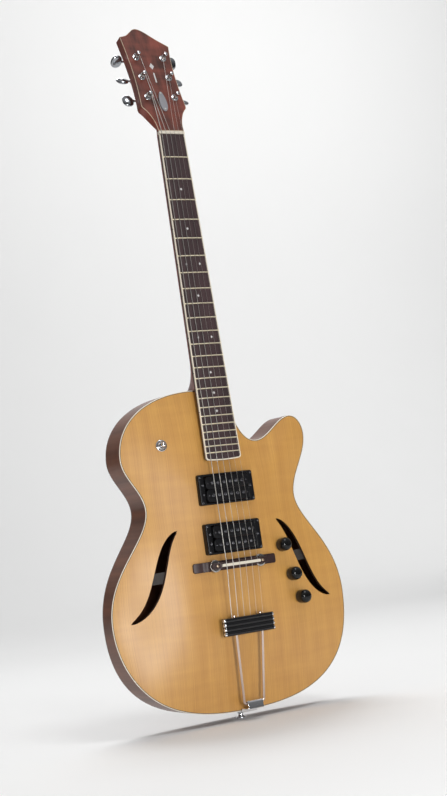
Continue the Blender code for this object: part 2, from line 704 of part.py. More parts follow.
def make_body():
    """Top, back, sides, binding and the blocks and brace inside."""
    top_holes = [hole_outline(1), hole_outline(-1)]
    for rise in (NECK_PICKUP_RISE, BRIDGE_PICKUP_RISE):
        opening = rounded_box((0, bridge_height() + rise), PICKUP_WIDTH + 2 * PICKUP_CUT_MARGIN,
                              PICKUP_LENGTH + 2 * PICKUP_CUT_MARGIN, PICKUP_CUT_MARGIN, 1)
        top_holes.append(refine(opening, TOP_GRID))
    for across, rise in KNOB_PLACES:
        top_holes.append(circle((across, bridge_height() + rise), POT_BUSH_DIAMETER + MOUNT_HOLE_GAP, 10))
    top_holes.append(circle(SWITCH_PLACE, SWITCH_BUSH_DIAMETER + MOUNT_HOLE_GAP, 12))
    smooth(slab("top_plate", PLATE_EDGE, top_front, top_inner, BODY_FRAME, "spruce", top_holes, TOP_GRID))
    back_outer = lambda x, z: back_inner(x, z) + BACK_THICKNESS
    heel_screw = circle((0, HEEL_BUTTON_HEIGHT), BUTTON_SCREW_DIAMETER + 2 * BORE_GAP, 10)
    smooth(slab("back_plate", OUTLINE, back_inner, back_outer, BODY_FRAME, "mahogany", [heel_screw],
                BACK_GRID))
    side_front = lambda x, z: front_edge(x, z) + TOP_THICKNESS + GAP
    jack_hole = rod("jack_hole", JACK_DIAMETER / 2 + BORE_GAP, -2 * SIDE_THICKNESS, CUT_EXTRA, jack_frame(),
                    "steel", 16)
    sides = slab("rim", OUTLINE, side_front, back_edge, BODY_FRAME, "mahogany",
                 [inset(OUTLINE, SIDE_THICKNESS)])
    combine(smooth(sides), jack_hole, 'DIFFERENCE')
    screw_bore = BUTTON_SCREW_DIAMETER / 2 + BORE_GAP
    combine(sides, rod("screw_hole", screw_bore, -CUT_EXTRA, 2 * SIDE_THICKNESS, BODY_FRAME), 'DIFFERENCE')
    binding_back = lambda x, z: front_edge(x, z) + TOP_THICKNESS
    smooth(slab("top_binding", OUTLINE, front_edge, binding_back, BODY_FRAME, "cream",
                [inset(OUTLINE, BINDING_WIDTH)]))
    under_top = lambda x, z: top_inner(x, z) + SEAT_GAP
    over_back = lambda x, z: back_inner(x, z) - SEAT_GAP
    wall = SIDE_THICKNESS + GAP
    high, low = BODY_LENGTH - wall - BLOCK_CLEARANCE, BODY_LENGTH - NECK_BLOCK_LENGTH
    right = NECK_HALF_WIDTH - wall - BLOCK_CLEARANCE
    block = [(-BLOCK_HALF_WIDTH, low), (BLOCK_HALF_WIDTH, low), (BLOCK_HALF_WIDTH, low + NECK_BLOCK_STEP),
             (right, CUTAWAY_END_HEIGHT - NECK_BLOCK_MARGIN), (right, high), (-BLOCK_HALF_WIDTH, high)]
    slab("neck_block", refine(np.array(block, float), EDGE_STEP), under_top, over_back, BODY_FRAME, "maple",
         [heel_screw])
    step = wall + TAIL_BLOCK_STEP
    tail = [(-BLOCK_HALF_WIDTH, step), (-TAIL_FLAT / 2, wall), (TAIL_FLAT / 2, wall), (BLOCK_HALF_WIDTH, step),
            (BLOCK_HALF_WIDTH, TAIL_BLOCK_LENGTH), (-BLOCK_HALF_WIDTH, TAIL_BLOCK_LENGTH)]
    tail_block = slab("tail_block", refine(np.array(tail, float), EDGE_STEP), under_top, over_back, BODY_FRAME,
                      "maple")
    combine(tail_block, rod("deep_hole", screw_bore, -CUT_EXTRA, BUTTON_SCREW_LENGTH, BODY_FRAME), 'DIFFERENCE')
    middle = bridge_height() - BRACE_DROP
    reach = half_width_at(middle) - SIDE_THICKNESS - BRACE_CLEARANCE
    climb = reach * math.tan(BRACE_TILT)
    brace = [(-reach, middle - climb - BRACE_WIDTH / 2), (reach, middle + climb - BRACE_WIDTH / 2),
             (reach, middle + climb + BRACE_WIDTH / 2), (-reach, middle - climb + BRACE_WIDTH / 2)]
    slab("cross_brace", refine(np.array(brace, float), LONG_STEP), under_top,
         lambda x, z: under_top(x, z) + BRACE_DEPTH, BODY_FRAME, "spruce")


def neck_to_body(x, y, z):
    """A point of the neck frame as body coordinates."""
    sine, cosine = math.sin(NECK_ANGLE), math.cos(NECK_ANGLE)
    return (x, FRONT_EDGE - BOARD_RISE + cosine * y + sine * z, BODY_LENGTH - sine * y + cosine * z)


def bridge_height():
    return neck_to_body(0, -STRING_LIFT_BRIDGE, SADDLE_HEIGHT_N)[2]


def board_half_width(z):
    """Half the fingerboard's width at a height in the neck frame."""
    share = (NUT_HEIGHT - z) / (NUT_HEIGHT - BOARD_LOW)
    return (NUT_WIDTH + (BOARD_END_WIDTH - NUT_WIDTH) * share) / 2


def crown(x):
    """Drop of the fingerboard's round surface away from its middle."""
    return x * x / (2 * BOARD_RADIUS)


def make_fingerboard():
    """The board as cross sections from its end to the nut, each fret raised as a low ridge."""
    stations = []
    for k in range(5):
        turn = k / 4 * math.pi / 2
        z = BOARD_LOW + BOARD_END_ROUNDING * (1 - math.cos(turn))
        end_width = 1 - BOARD_END_ROUNDING / BOARD_END_WIDTH * 2 * (1 - math.sin(turn))
        stations.append((z, board_half_width(z) * end_width, 0.0))
    for number in range(FRET_COUNT, 0, -1):
        z = NUT_HEIGHT - fret_distance(number)
        foot, top = FRET_WIDTH / 2, FRET_CROWN_WIDTH / 2
        for offset, lift in ((-foot, 0.0), (-top, FRET_HEIGHT), (top, FRET_HEIGHT), (foot, 0.0)):
            stations.append((z + offset, board_half_width(z + offset), lift))
    stations.append((NUT_HEIGHT - GAP, board_half_width(NUT_HEIGHT), 0.0))
    vertices = []
    for z, half, lift in stations:
        field = half - BOARD_BINDING
        vertices += [(-half, BOARD_THICKNESS, z), (-half, crown(half), z)]
        vertices += [(share * field, crown(share * field) - lift, z) for share in (-1.0, -0.5, 0.0, 0.5, 1.0)]
        vertices += [(half, crown(half), z), (half, BOARD_THICKNESS, z)]
    ring = len(vertices) // len(stations)
    faces = [tuple(range(ring)), tuple(range(len(vertices) - ring, len(vertices)))]
    for k in range(len(stations) - 1):
        for j in range(ring):
            m = (j + 1) % ring
            faces.append((k * ring + m, k * ring + j, (k + 1) * ring + j, (k + 1) * ring + m))
    add_mesh("fingerboard", vertices, faces, NECK_FRAME, "rosewood")


def neck_depth(z):
    """Depth of the neck behind the fingerboard, swelling into the heel."""
    share = z / NUT_HEIGHT
    depth = NECK_DEPTH_BODY + (NECK_DEPTH_NUT - NECK_DEPTH_BODY) * share
    if z < HEEL_LENGTH:
        to_back = DEPTH_AT_NECK + BOARD_RISE - BOARD_THICKNESS - GAP
        depth += (to_back - depth) * (1 - z / HEEL_LENGTH) ** HEEL_SHARPNESS
    return depth


def neck_section(z):
    """Half a ring behind the fingerboard, squarer and narrower towards the heel's cap."""
    swell = max(0.0, 1 - z / HEEL_LENGTH)
    half = board_half_width(min(z, NUT_HEIGHT)) - (NECK_END_STEP if z > NUT_HEIGHT else 0.0)
    squeeze = (1 - HEEL_BACK_WIDTH / (2 * half)) * swell ** 1.5
    power = 1.0 - 0.55 * swell
    ring = []
    for k in range(NECK_POINTS):
        angle = math.pi * k / (NECK_POINTS - 1)
        down = max(0.0, math.sin(angle)) ** power if 0 < k < NECK_POINTS - 1 else 0.0
        across = -math.copysign(abs(math.cos(angle)) ** (power * 0.9), math.cos(angle))
        y = NECK_TOP + neck_depth(z) * down
        ring.append((half * across * (1 - squeeze * down), y, z + y * math.tan(NECK_ANGLE) * swell))
    return ring


def tongue_section(z):
    """A ring under the fingerboard's end, its back following the top below it."""
    ring = [(-TONGUE_HALF_WIDTH, NECK_TOP, z)]
    for x in np.linspace(-TONGUE_HALF_WIDTH, TONGUE_HALF_WIDTH, NECK_POINTS - 2):
        height = neck_to_body(x, BOARD_THICKNESS, z)[2]
        surface = float(top_front(np.array([x]), np.array([height]))[0]) - SEAT_GAP
        ring.append((x, surface - FRONT_EDGE + BOARD_RISE - math.tan(NECK_ANGLE) * z, z))
    return ring + [(TONGUE_HALF_WIDTH, NECK_TOP, z)]


def make_neck():
    """Neck shaft with heel, the tongue under the board's end, and the headstock's wood."""
    count = NECK_POINTS
    low = BOARD_LOW + TONGUE_MARGIN
    rings = [tongue_section(low * (1 - k / 5)) for k in range(6)]
    rings[-1] = [(x, y, y * math.tan(NECK_ANGLE) + GAP) for x, y, _ in rings[-1]]
    heel = [share * HEEL_LENGTH for share in (0.07, 0.17, 0.29, 0.43, 0.62, 0.81, 1.0, 1.67)]
    rings += [neck_section(z) for z in [GAP, *heel, NUT_HEIGHT / 2, NUT_HEIGHT - NUT_BLEND, NUT_HEIGHT,
                                        HEAD_START + NECK_RUN_ON]]
    vertices = [point for ring in rings for point in ring]
    faces = [tuple(reversed(range(count))), tuple(range(len(vertices) - count, len(vertices)))]
    for k in range(len(rings) - 1):
        for j in range(count):
            m = (j + 1) % count
            faces.append((k * count + j, k * count + m, (k + 1) * count + m, (k + 1) * count + j))
    neck = add_mesh("neck", vertices, faces, NECK_FRAME, "mahogany")
    head = slab("head_wood", head_outline(), level(FACE_THICKNESS + GAP), level(HEAD_THICKNESS), HEAD_FRAME,
                "mahogany")
    combine(neck, head, 'UNION')
    channel = box("channel", (-CHANNEL_WIDTH / 2, NECK_TOP - CUT_EXTRA, ROD_LOW - CUT_EXTRA),
                  (CHANNEL_WIDTH / 2, ROD_LINE + CHANNEL_WIDTH / 2, HEAD_START + POCKET_LOW + CUT_EXTRA),
                  NECK_FRAME, "mahogany")
    combine(neck, channel, 'DIFFERENCE')
    pocket = box("pocket", (-POCKET_WIDTH / 2, -CUT_EXTRA, POCKET_LOW),
                 (POCKET_WIDTH / 2, POCKET_DEPTH, POCKET_HIGH), HEAD_FRAME, "mahogany")
    combine(neck, pocket, 'DIFFERENCE')
    for side in (-1, 1):
        for height in TUNER_HEIGHTS:
            combine(neck, rod("bore", BARREL_DIAMETER / 2 + BORE_GAP, -CUT_EXTRA, HEAD_THICKNESS + CUT_EXTRA,
                              tuner_frame(side, height)), 'DIFFERENCE')
    smooth(neck, 40)


def head_outline():
    """The headstock's face: narrow at the nut, wide shoulders, waisted sides and a sloping, waved top.

    Each point is its share of half the width, and of the length.
    """
    side = [(0.556, 0.059), (0.625, 0.117), (0.762, 0.179), (0.935, 0.224), (0.947, 0.245), (0.912, 0.331),
            (0.885, 0.469), (0.89, 0.597)]
    treble_end = [(0.925, 0.72), (1.0, 0.837)]
    crest = [(0.8, 0.864), (0.55, 0.899), (0.3, 0.939), (0.1, 0.971), (-0.075, 0.992), (-0.225, 1.0),
             (-0.375, 0.992), (-0.525, 0.965), (-0.7, 0.933), (-0.85, 0.92), (-1.0, 0.912)]
    bass_end = [(-0.93, 0.747)]
    shares = side + treble_end + crest + bass_end + [(-across, up) for across, up in reversed(side)]
    middle = np.array(shares) * (HEAD_WIDTH / 2, HEAD_LENGTH)
    foot = [(NUT_WIDTH / 2, HEAD_FOOT)], [(-NUT_WIDTH / 2, HEAD_FOOT)]
    return np.vstack([foot[0], middle, foot[1]])


def tuner_frame(side, height):
    """At a tuner's hole: Z runs through the headstock, from its face to its back."""
    return HEAD_FRAME @ Matrix.Translation((side * TUNER_OFFSET * MM, 0, height * MM)) @ toward((0, 0, 1), (0, 1, 0))


def make_head_trim():
    """Veneered face, nut, truss rod with its nut, and the cover over it."""
    holes = [circle((side * TUNER_OFFSET, height), BARREL_DIAMETER + 2 * BORE_GAP, 12)
             for side in (-1, 1) for height in TUNER_HEIGHTS]
    holes.append(rounded_box((0, (POCKET_LOW + POCKET_HIGH) / 2), POCKET_WIDTH, POCKET_HIGH - POCKET_LOW,
                             POCKET_CORNER, 1))
    face = head_outline()
    face[:, 1] = np.maximum(face[:, 1], FACE_FOOT)
    slab("headstock_face", face, level(0.0), level(FACE_THICKNESS), HEAD_FRAME, "veneer", holes)
    nut_half = NUT_WIDTH / 2
    nut_loop = refine(np.array([(-nut_half, NUT_HEIGHT), (nut_half, NUT_HEIGHT), (nut_half, HEAD_START - GAP),
                                (-nut_half, HEAD_START - GAP)]), FINE_STEP)
    slab("nut", nut_loop, lambda x, z: crown(x) - NUT_TOP, level(BOARD_THICKNESS), NECK_FRAME, "bone")
    frame = NECK_FRAME @ Matrix.Translation((0, ROD_LINE * MM, 0))
    shoulder = HEAD_START + ROD_NUT_LOW
    turned("truss_rod", ((0, ROD_LOW), (ROD_DIAMETER_THIN / 2, ROD_LOW), (ROD_DIAMETER_THIN / 2, shoulder),
                         (ROD_NUT_DIAMETER / 2, shoulder), (ROD_NUT_DIAMETER / 2, shoulder + ROD_NUT_LENGTH),
                         (0, shoulder + ROD_NUT_LENGTH)), frame, "steel", 10)
    count = 16
    angle = np.arange(count) * 2 * math.pi / count
    half = COVER_WIDTH / 2 * (1 - COVER_TAPER * np.sin(angle))
    middle = (COVER_LOW + COVER_HIGH) / 2
    cover = np.stack([half * np.cos(angle), middle + (COVER_HIGH - COVER_LOW) / 2 * np.sin(angle)], 1)
    slab("truss_rod_cover", cover, level(-COVER_THICKNESS - GAP), level(-GAP), HEAD_FRAME, "grey")


def make_tuner(number, side, height):
    """Sealed housing with barrel, the post with its gear, and the key's shaft with its worm.

    In the tuner's frame X points to the treble side and Y down the headstock.
    """
    frame = tuner_frame(side, height)
    back = HEAD_THICKNESS + GAP
    half = HOUSING_WIDTH / 2
    worm, gear = WORM_DIAMETER / 2, GEAR_DIAMETER / 2
    barrel, post = BARREL_DIAMETER / 2, POST_DIAMETER / 2
    shaft_side = -(gear + worm + GAP)
    room_low = back + HOUSING_WALL
    room_high = room_low + GEAR_THICKNESS + 2 * BORE_GAP
    housing = box(f"tuner_housing_{number}", (-half, shaft_side - worm - BORE_GAP - HOUSING_WALL, back),
                  (half, gear + BORE_GAP + HOUSING_WALL, back + HOUSING_DEPTH), frame, "chrome")
    bevel = housing.modifiers.new("edges", 'BEVEL')
    bevel.width = HOUSING_ROUNDING * MM
    bevel.segments = 1
    chamfer = BARREL_PROUD / 3
    sleeve = turned("barrel", ((0, -BARREL_PROUD), (barrel - chamfer, -BARREL_PROUD),
                               (barrel, chamfer - BARREL_PROUD), (barrel, room_low - GAP), (0, room_low - GAP)),
                    frame, "chrome", 12)
    combine(housing, sleeve, 'UNION')
    combine(housing, rod("gear_room", gear + BORE_GAP, room_low, room_high, frame), 'DIFFERENCE')
    combine(housing, rod("post_bore", post + BORE_GAP, -2 * BARREL_PROUD, room_low + GAP, frame), 'DIFFERENCE')
    shaft_frame = frame @ Matrix.Translation((0, shaft_side * MM, (room_low + room_high) / 2 * MM)) \
        @ toward((0, 0, 1), (side, 0, 0))
    inner_end = HOUSING_WALL - half
    combine(housing, rod("worm_bore", worm + BORE_GAP, inner_end, half + CUT_EXTRA, shaft_frame, "steel", 10),
            'DIFFERENCE')
    waist = post - POST_WAIST
    rest = STRING_REST - POST_HEIGHT
    turned(f"tuner_post_{number}", ((0, -POST_HEIGHT), (waist, -POST_HEIGHT), (post, POST_WAIST - POST_HEIGHT),
                                    (post, rest - 2.5 * POST_WAIST), (waist, rest - POST_WAIST),
                                    (waist, rest + POST_WAIST), (post, rest + 4 * POST_WAIST),
                                    (post, room_low + BORE_GAP), (gear, room_low + BORE_GAP),
                                    (gear, room_high - BORE_GAP), (0, room_high - BORE_GAP)), frame, "chrome", 12)
    shaft, collar = SHAFT_DIAMETER / 2, SHAFT_COLLAR_DIAMETER / 2
    mouth = half + GAP
    key = turned(f"tuner_key_{number}", ((0, inner_end + BORE_GAP), (worm, inner_end + BORE_GAP), (worm, mouth),
                                         (collar, mouth), (collar, mouth + SHAFT_COLLAR_LENGTH),
                                         (shaft, mouth + SHAFT_COLLAR_LENGTH), (shaft, GRIP_START + KEY_WIDTH / 4),
                                         (0, GRIP_START + KEY_WIDTH / 4)), shaft_frame, "chrome", 10)
    combine(key, key_grip(shaft_frame, side * KEY_TURNS[number - 1]), 'UNION')


def key_grip(shaft_frame, turn):
    """A flat oval finger grip at the end of a tuner's shaft: a squashed ball, blunter than an ellipse.

    Turned by 0 degrees, it stands flat to the headstock.
    """
    rows, columns = 6, 10
    vertices = [(0, 0, 0)]
    for r in range(1, rows):
        tilt = math.pi * r / rows
        for c in range(columns):
            turn = 2 * math.pi * c / columns
            blunt = abs(math.sin(turn)) ** 0.75 * math.copysign(1, math.sin(turn))
            vertices.append((math.sin(tilt) * math.cos(turn) * KEY_LENGTH / 2,
                             math.sin(tilt) * blunt * KEY_THICKNESS / 2,
                             KEY_WIDTH / 2 * (1 - math.cos(tilt))))
    vertices.append((0, 0, KEY_WIDTH))
    top = len(vertices) - 1
    last = top - columns
    faces = []
    for c in range(columns):
        m = (c + 1) % columns
        faces += [(0, 1 + m, 1 + c), (last + c, last + m, top)]
        for r in range(rows - 2):
            a, b = 1 + r * columns, 1 + (r + 1) * columns
            faces.append((a + c, a + m, b + m, b + c))
    frame = shaft_frame @ Matrix.Translation((0, 0, GRIP_START * MM)) \
        @ Matrix.Rotation(math.radians(90.0 + turn), 4, 'Z')
    return smooth(add_mesh("grip", vertices, faces, frame, "chrome"))


def string_spots(number):
    """Where a string passes: tailpiece, saddle, nut and its tuner, in millimetres of the body frame."""
    share = (number - 2.5) / 5.0
    radius = STRING_DIAMETERS[number] / 2
    saddle_x = share * STRING_SPAN_BRIDGE
    nut_x = share * STRING_SPAN_NUT
    saddle = neck_to_body(saddle_x, crown(saddle_x) - STRING_LIFT_BRIDGE - radius, SADDLE_HEIGHT_N)
    rest = NUT_HEIGHT + NUT_LENGTH / 2
    nut = neck_to_body(nut_x, crown(nut_x) - STRING_LIFT_NUT - radius, rest)
    tail = (share * STRING_SPAN_TAIL, FRONT_EDGE - TAIL_BAR_LIFT + STRING_TAIL_DEPTH,
            TAIL_BAR_HEIGHT + TAIL_BAR_LENGTH + GAP)
    side = -1 if number < 3 else 1
    order = number if number < 3 else 5 - number
    clear = POST_DIAMETER / 2 - POST_WAIST + radius + GAP
    to_body = BODY_FRAME.inverted() @ HEAD_FRAME
    post = to_body @ Vector((side * (TUNER_OFFSET - clear) * MM, (STRING_REST - POST_HEIGHT) * MM,
                             (TUNER_HEIGHTS[order] + STRING_PAST_POST) * MM)) / MM
    return [tail, saddle, nut, tuple(post)]


def make_strings():
    for number, diameter in enumerate(STRING_DIAMETERS):
        tube(f"string_{number + 1}", string_spots(number), diameter, BODY_FRAME, "steel", 6)


def make_pickup(name, height, lift):
    """A mounting ring shaped to the top below it, and the coil block with two rows of poles."""
    crest = float(top_front(np.array([0.0]), np.array([height]))[0])
    lean = math.tan(NECK_ANGLE) / 2
    ring_front = lambda x, z: crest - lift + (z - height) * lean
    ring_back = lambda x, z: top_front(x, z) - SEAT_GAP
    outer = refine(rounded_box((0, height), RING_WIDTH, RING_LENGTH, RING_CORNER, 2), EDGE_STEP)
    opening = refine(rounded_box((0, height), PICKUP_WIDTH + 2 * PICKUP_GAP, PICKUP_LENGTH + 2 * PICKUP_GAP,
                                 PICKUP_GAP, 1), EDGE_STEP)
    slab(f"{name}_pickup_ring", outer, ring_front, ring_back, BODY_FRAME, "black", [opening])
    front = crest - lift - PICKUP_PROUD
    body = rounded_box((0, height), PICKUP_WIDTH, PICKUP_LENGTH, PICKUP_CORNER, 3)
    coils = slab(f"{name}_pickup", body, level(front), level(front + PICKUP_DEPTH), BODY_FRAME, "black")
    poles = []
    for row in (-1, 1):
        for k in range(len(STRING_DIAMETERS)):
            place = ((k / 5 - 0.5) * POLE_SPAN, height + row * POLE_ROW_GAP / 2)
            poles.append(slab("pole", circle(place, POLE_DIAMETER, 8), level(front - POLE_PROUD),
                              level(front + CUT_EXTRA), BODY_FRAME, "steel"))
    combine(coils, join(poles), 'UNION')


def join(objects):
    """Put several separate shapes into one guide mesh."""
    first = objects[0]
    whole = bmesh.new()
    for obj in objects:
        whole.from_mesh(obj.data)
    whole.to_mesh(first.data)
    whole.free()
    for obj in objects[1:]:
        bpy.data.objects.remove(obj)
    return first


def make_bridge():
    """Floating base with studs, two thumbwheels, the saddle bar on them and its hard insert."""
    middle = bridge_height()
    contact = float(top_front(np.array([0.0]), np.array([middle]))[0])
    platform = contact - BRIDGE_BASE_RISE
    stud_x = BRIDGE_STUD_SPAN / 2
    stud_places = [(side * stud_x, middle) for side in (-1, 1)]
    base_front = lambda x, z: np.where(np.abs(x) < stud_x + BRIDGE_PLATFORM, platform,
                                       top_front(x, z) - SEAT_GAP - BRIDGE_END_RISE)
    foot = lambda x, z: top_front(x, z) - SEAT_GAP
    loop = refine(rounded_box((0, middle), BRIDGE_BASE_WIDTH, BRIDGE_BASE_LENGTH, BRIDGE_BASE_CORNER, 2),
                  EDGE_STEP)
    base = slab("bridge_base", loop, base_front, foot, BODY_FRAME, "rosewood")
    string_rest = neck_to_body(0, -STRING_LIFT_BRIDGE, SADDLE_HEIGHT_N)[1] + GAP
    bar_front = string_rest + INSERT_PROUD
    wheel_back = platform - GAP - WHEEL_TRAVEL
    bar_back = wheel_back - WHEEL_THICKNESS - GAP
    stud_top = bar_front + STUD_INSET
    studs = [slab("stud", circle(place, STUD_DIAMETER, 10), level(stud_top), level(platform + CUT_EXTRA),
                  BODY_FRAME, "steel") for place in stud_places]
    combine(base, join(studs), 'UNION')
    inner, outer = STUD_DIAMETER / 2 + BORE_GAP, WHEEL_DIAMETER / 2
    for side, label in ((-1, "bass"), (1, "treble")):
        frame = BODY_FRAME @ Matrix.Translation(Vector((side * stud_x, wheel_back, middle)) * MM) \
            @ toward((0, 0, 1), (0, -1, 0))
        turned(f"thumbwheel_{label}", ((inner, 0), (outer - WHEEL_EDGE, 0), (outer, WHEEL_EDGE),
                                       (outer, WHEEL_THICKNESS - WHEEL_EDGE),
                                       (outer - WHEEL_EDGE, WHEEL_THICKNESS), (inner, WHEEL_THICKNESS)),
               frame, "chrome", 20)
    ends = rounded_box((0, middle), SADDLE_WIDTH, SADDLE_LENGTH, SADDLE_LENGTH / 2 - GAP, 3)
    ridge = INSERT_WIDTH / 2 + INSERT_LENGTH
    bar_top = lambda x, z: bar_front + crown(x) + np.where(np.abs(x) > ridge, SADDLE_SHOULDER, 0.0)
    saddle = slab("bridge_saddle", refine(ends, FINE_STEP), bar_top, level(bar_back), BODY_FRAME, "rosewood")
    bores = [slab("stud_bore", circle(place, STUD_DIAMETER + 2 * BORE_GAP, 10), level(bar_front - CUT_EXTRA),
                  level(bar_back + CUT_EXTRA), BODY_FRAME, "steel") for place in stud_places]
    combine(saddle, join(bores), 'DIFFERENCE')
    corner = INSERT_LENGTH / 3
    slot_loop = rounded_box((0, middle), INSERT_WIDTH + 2 * GAP, INSERT_LENGTH + 2 * GAP, corner, 1)
    slot = slab("slot", slot_loop, level(string_rest - CUT_EXTRA), level(bar_front + INSERT_DEPTH), BODY_FRAME,
                "steel")
    combine(saddle, slot, 'DIFFERENCE')
    insert_loop = refine(rounded_box((0, middle), INSERT_WIDTH, INSERT_LENGTH, corner, 1), FINE_STEP)
    slab("saddle_insert", insert_loop, lambda x, z: string_rest + crown(x), level(bar_front + INSERT_DEPTH - GAP),
         BODY_FRAME, "bone")


def extruded(name, profile, half_width, finish):
    """A profile given in Y and Z, drawn out along X to both sides of the centre line."""
    count = len(profile)
    vertices = [(x, y, z) for x in (-half_width, half_width) for y, z in profile]
    faces = [tuple(range(count)), tuple(range(count, 2 * count))]
    faces += [(k, (k + 1) % count, (k + 1) % count + count, k + count) for k in range(count)]
    return add_mesh(name, vertices, faces, BODY_FRAME, finish)


def make_tailpiece():
    """Ribbed black block, the two rods that carry it, and the bracket over the tail."""
    front = FRONT_EDGE - TAIL_BAR_LIFT
    back = front + TAIL_BAR_THICKNESS
    pitch = TAIL_BAR_LENGTH / TAIL_RIBS
    reach = pitch / 2 - TAIL_RIB_GROOVE / 2
    top_z = TAIL_BAR_HEIGHT + TAIL_BAR_LENGTH
    profile = []
    for rib in range(TAIL_RIBS):
        for k in range(5):
            angle = math.pi * k / 4
            profile.append((front + TAIL_RIB_DEPTH * (1 - math.sin(angle)),
                            TAIL_BAR_HEIGHT + pitch * (rib + 0.5) - reach * math.cos(angle)))
    profile += [(back, top_z), (back, TAIL_BAR_HEIGHT)]
    block = extruded("tailpiece_block", profile, TAIL_BLOCK_WIDTH / 2, "black")
    rod_y = (front + TAIL_RIB_DEPTH + back) / 2
    high_x, low_x = ROD_SPAN_TOP / 2, ROD_SPAN_END / 2
    below = TAIL_BAR_HEIGHT - CUT_EXTRA
    bores = [tube("rod_bore", [(x, rod_y, below), (x, rod_y, top_z + CUT_EXTRA)], ROD_DIAMETER + 2 * BORE_GAP,
                  BODY_FRAME, "steel", 10) for x in (-high_x, high_x)]
    combine(block, join(bores), 'DIFFERENCE')
    bar_y = FRONT_EDGE - CROSS_BAR_LIFT
    short = ROD_BEND * (1 - math.sqrt(0.5))
    half_path = [(high_x, rod_y, top_z + ROD_TIP_LENGTH), (high_x, rod_y, below),
                 (low_x, bar_y, CROSS_BAR_HEIGHT + ROD_BEND), (low_x - short, bar_y, CROSS_BAR_HEIGHT + short),
                 (low_x - ROD_BEND, bar_y, CROSS_BAR_HEIGHT)]
    path = [(-x, y, z) for x, y, z in half_path] + half_path[::-1]
    frame = tube("tailpiece_frame", path, ROD_DIAMETER, BODY_FRAME, "chrome", 8)
    tip = ROD_TIP_DIAMETER / 2
    for x in (-high_x, high_x):
        place = BODY_FRAME @ Matrix.Translation(Vector((x, rod_y, top_z + GAP)) * MM)
        ball = turned("tip", ((0, 0), (tip, 0), (tip, ROD_TIP_LENGTH - tip / 2),
                              (tip * 0.7, ROD_TIP_LENGTH + tip / 4), (0, ROD_TIP_LENGTH + tip / 2)),
                      place, "chrome", 10)
        combine(frame, ball, 'UNION')
    make_bracket(bar_y)


def make_bracket(bar_y):
    """A bent strap: a foot under the sides, a leg up in front of the tail edge, and an arm that ends in a hook
    over the cross bar."""
    inner = ROD_DIAMETER / 2 + BORE_GAP
    outer = inner + BRACKET_THICKNESS
    leg_back = FRONT_EDGE - BRACKET_STANDOFF
    leg_front = leg_back - BRACKET_THICKNESS
    foot_low = -GAP - BRACKET_THICKNESS
    arm_low, arm_high = CROSS_BAR_HEIGHT + inner, CROSS_BAR_HEIGHT + outer
    steps = 8
    start, sweep = math.radians(HOOK_START), math.radians(HOOK_SWEEP)
    around = [start + sweep * k / steps for k in range(steps + 1)]
    ring = [(bar_y + outer * math.cos(a), CROSS_BAR_HEIGHT + outer * math.sin(a)) for a in around]
    hollow = [(bar_y + inner * math.cos(a), CROSS_BAR_HEIGHT + inner * math.sin(a)) for a in reversed(around)]
    profile = [(leg_front, foot_low), (BRACKET_REACH, foot_low), (BRACKET_REACH, -GAP), (leg_back, -GAP),
               (leg_back, arm_high)] + ring + hollow + [(leg_front, arm_low)]
    bracket = extruded("tailpiece_bracket", profile, BRACKET_WIDTH / 2, "chrome")
    hole = rod("bracket_hole", BUTTON_SCREW_DIAMETER / 2 + BORE_GAP, 2 * foot_low, -foot_low, BODY_FRAME)
    combine(bracket, hole, 'DIFFERENCE')


def jack_frame():
    """On the widest place of the treble side, with Z pointing outwards."""
    return BODY_FRAME @ Matrix.Translation(Vector((LOWER_HALF_WIDTH, 0, LOWER_HEIGHT)) * MM) \
        @ toward((0, 0, 1), (1, 0, 0))


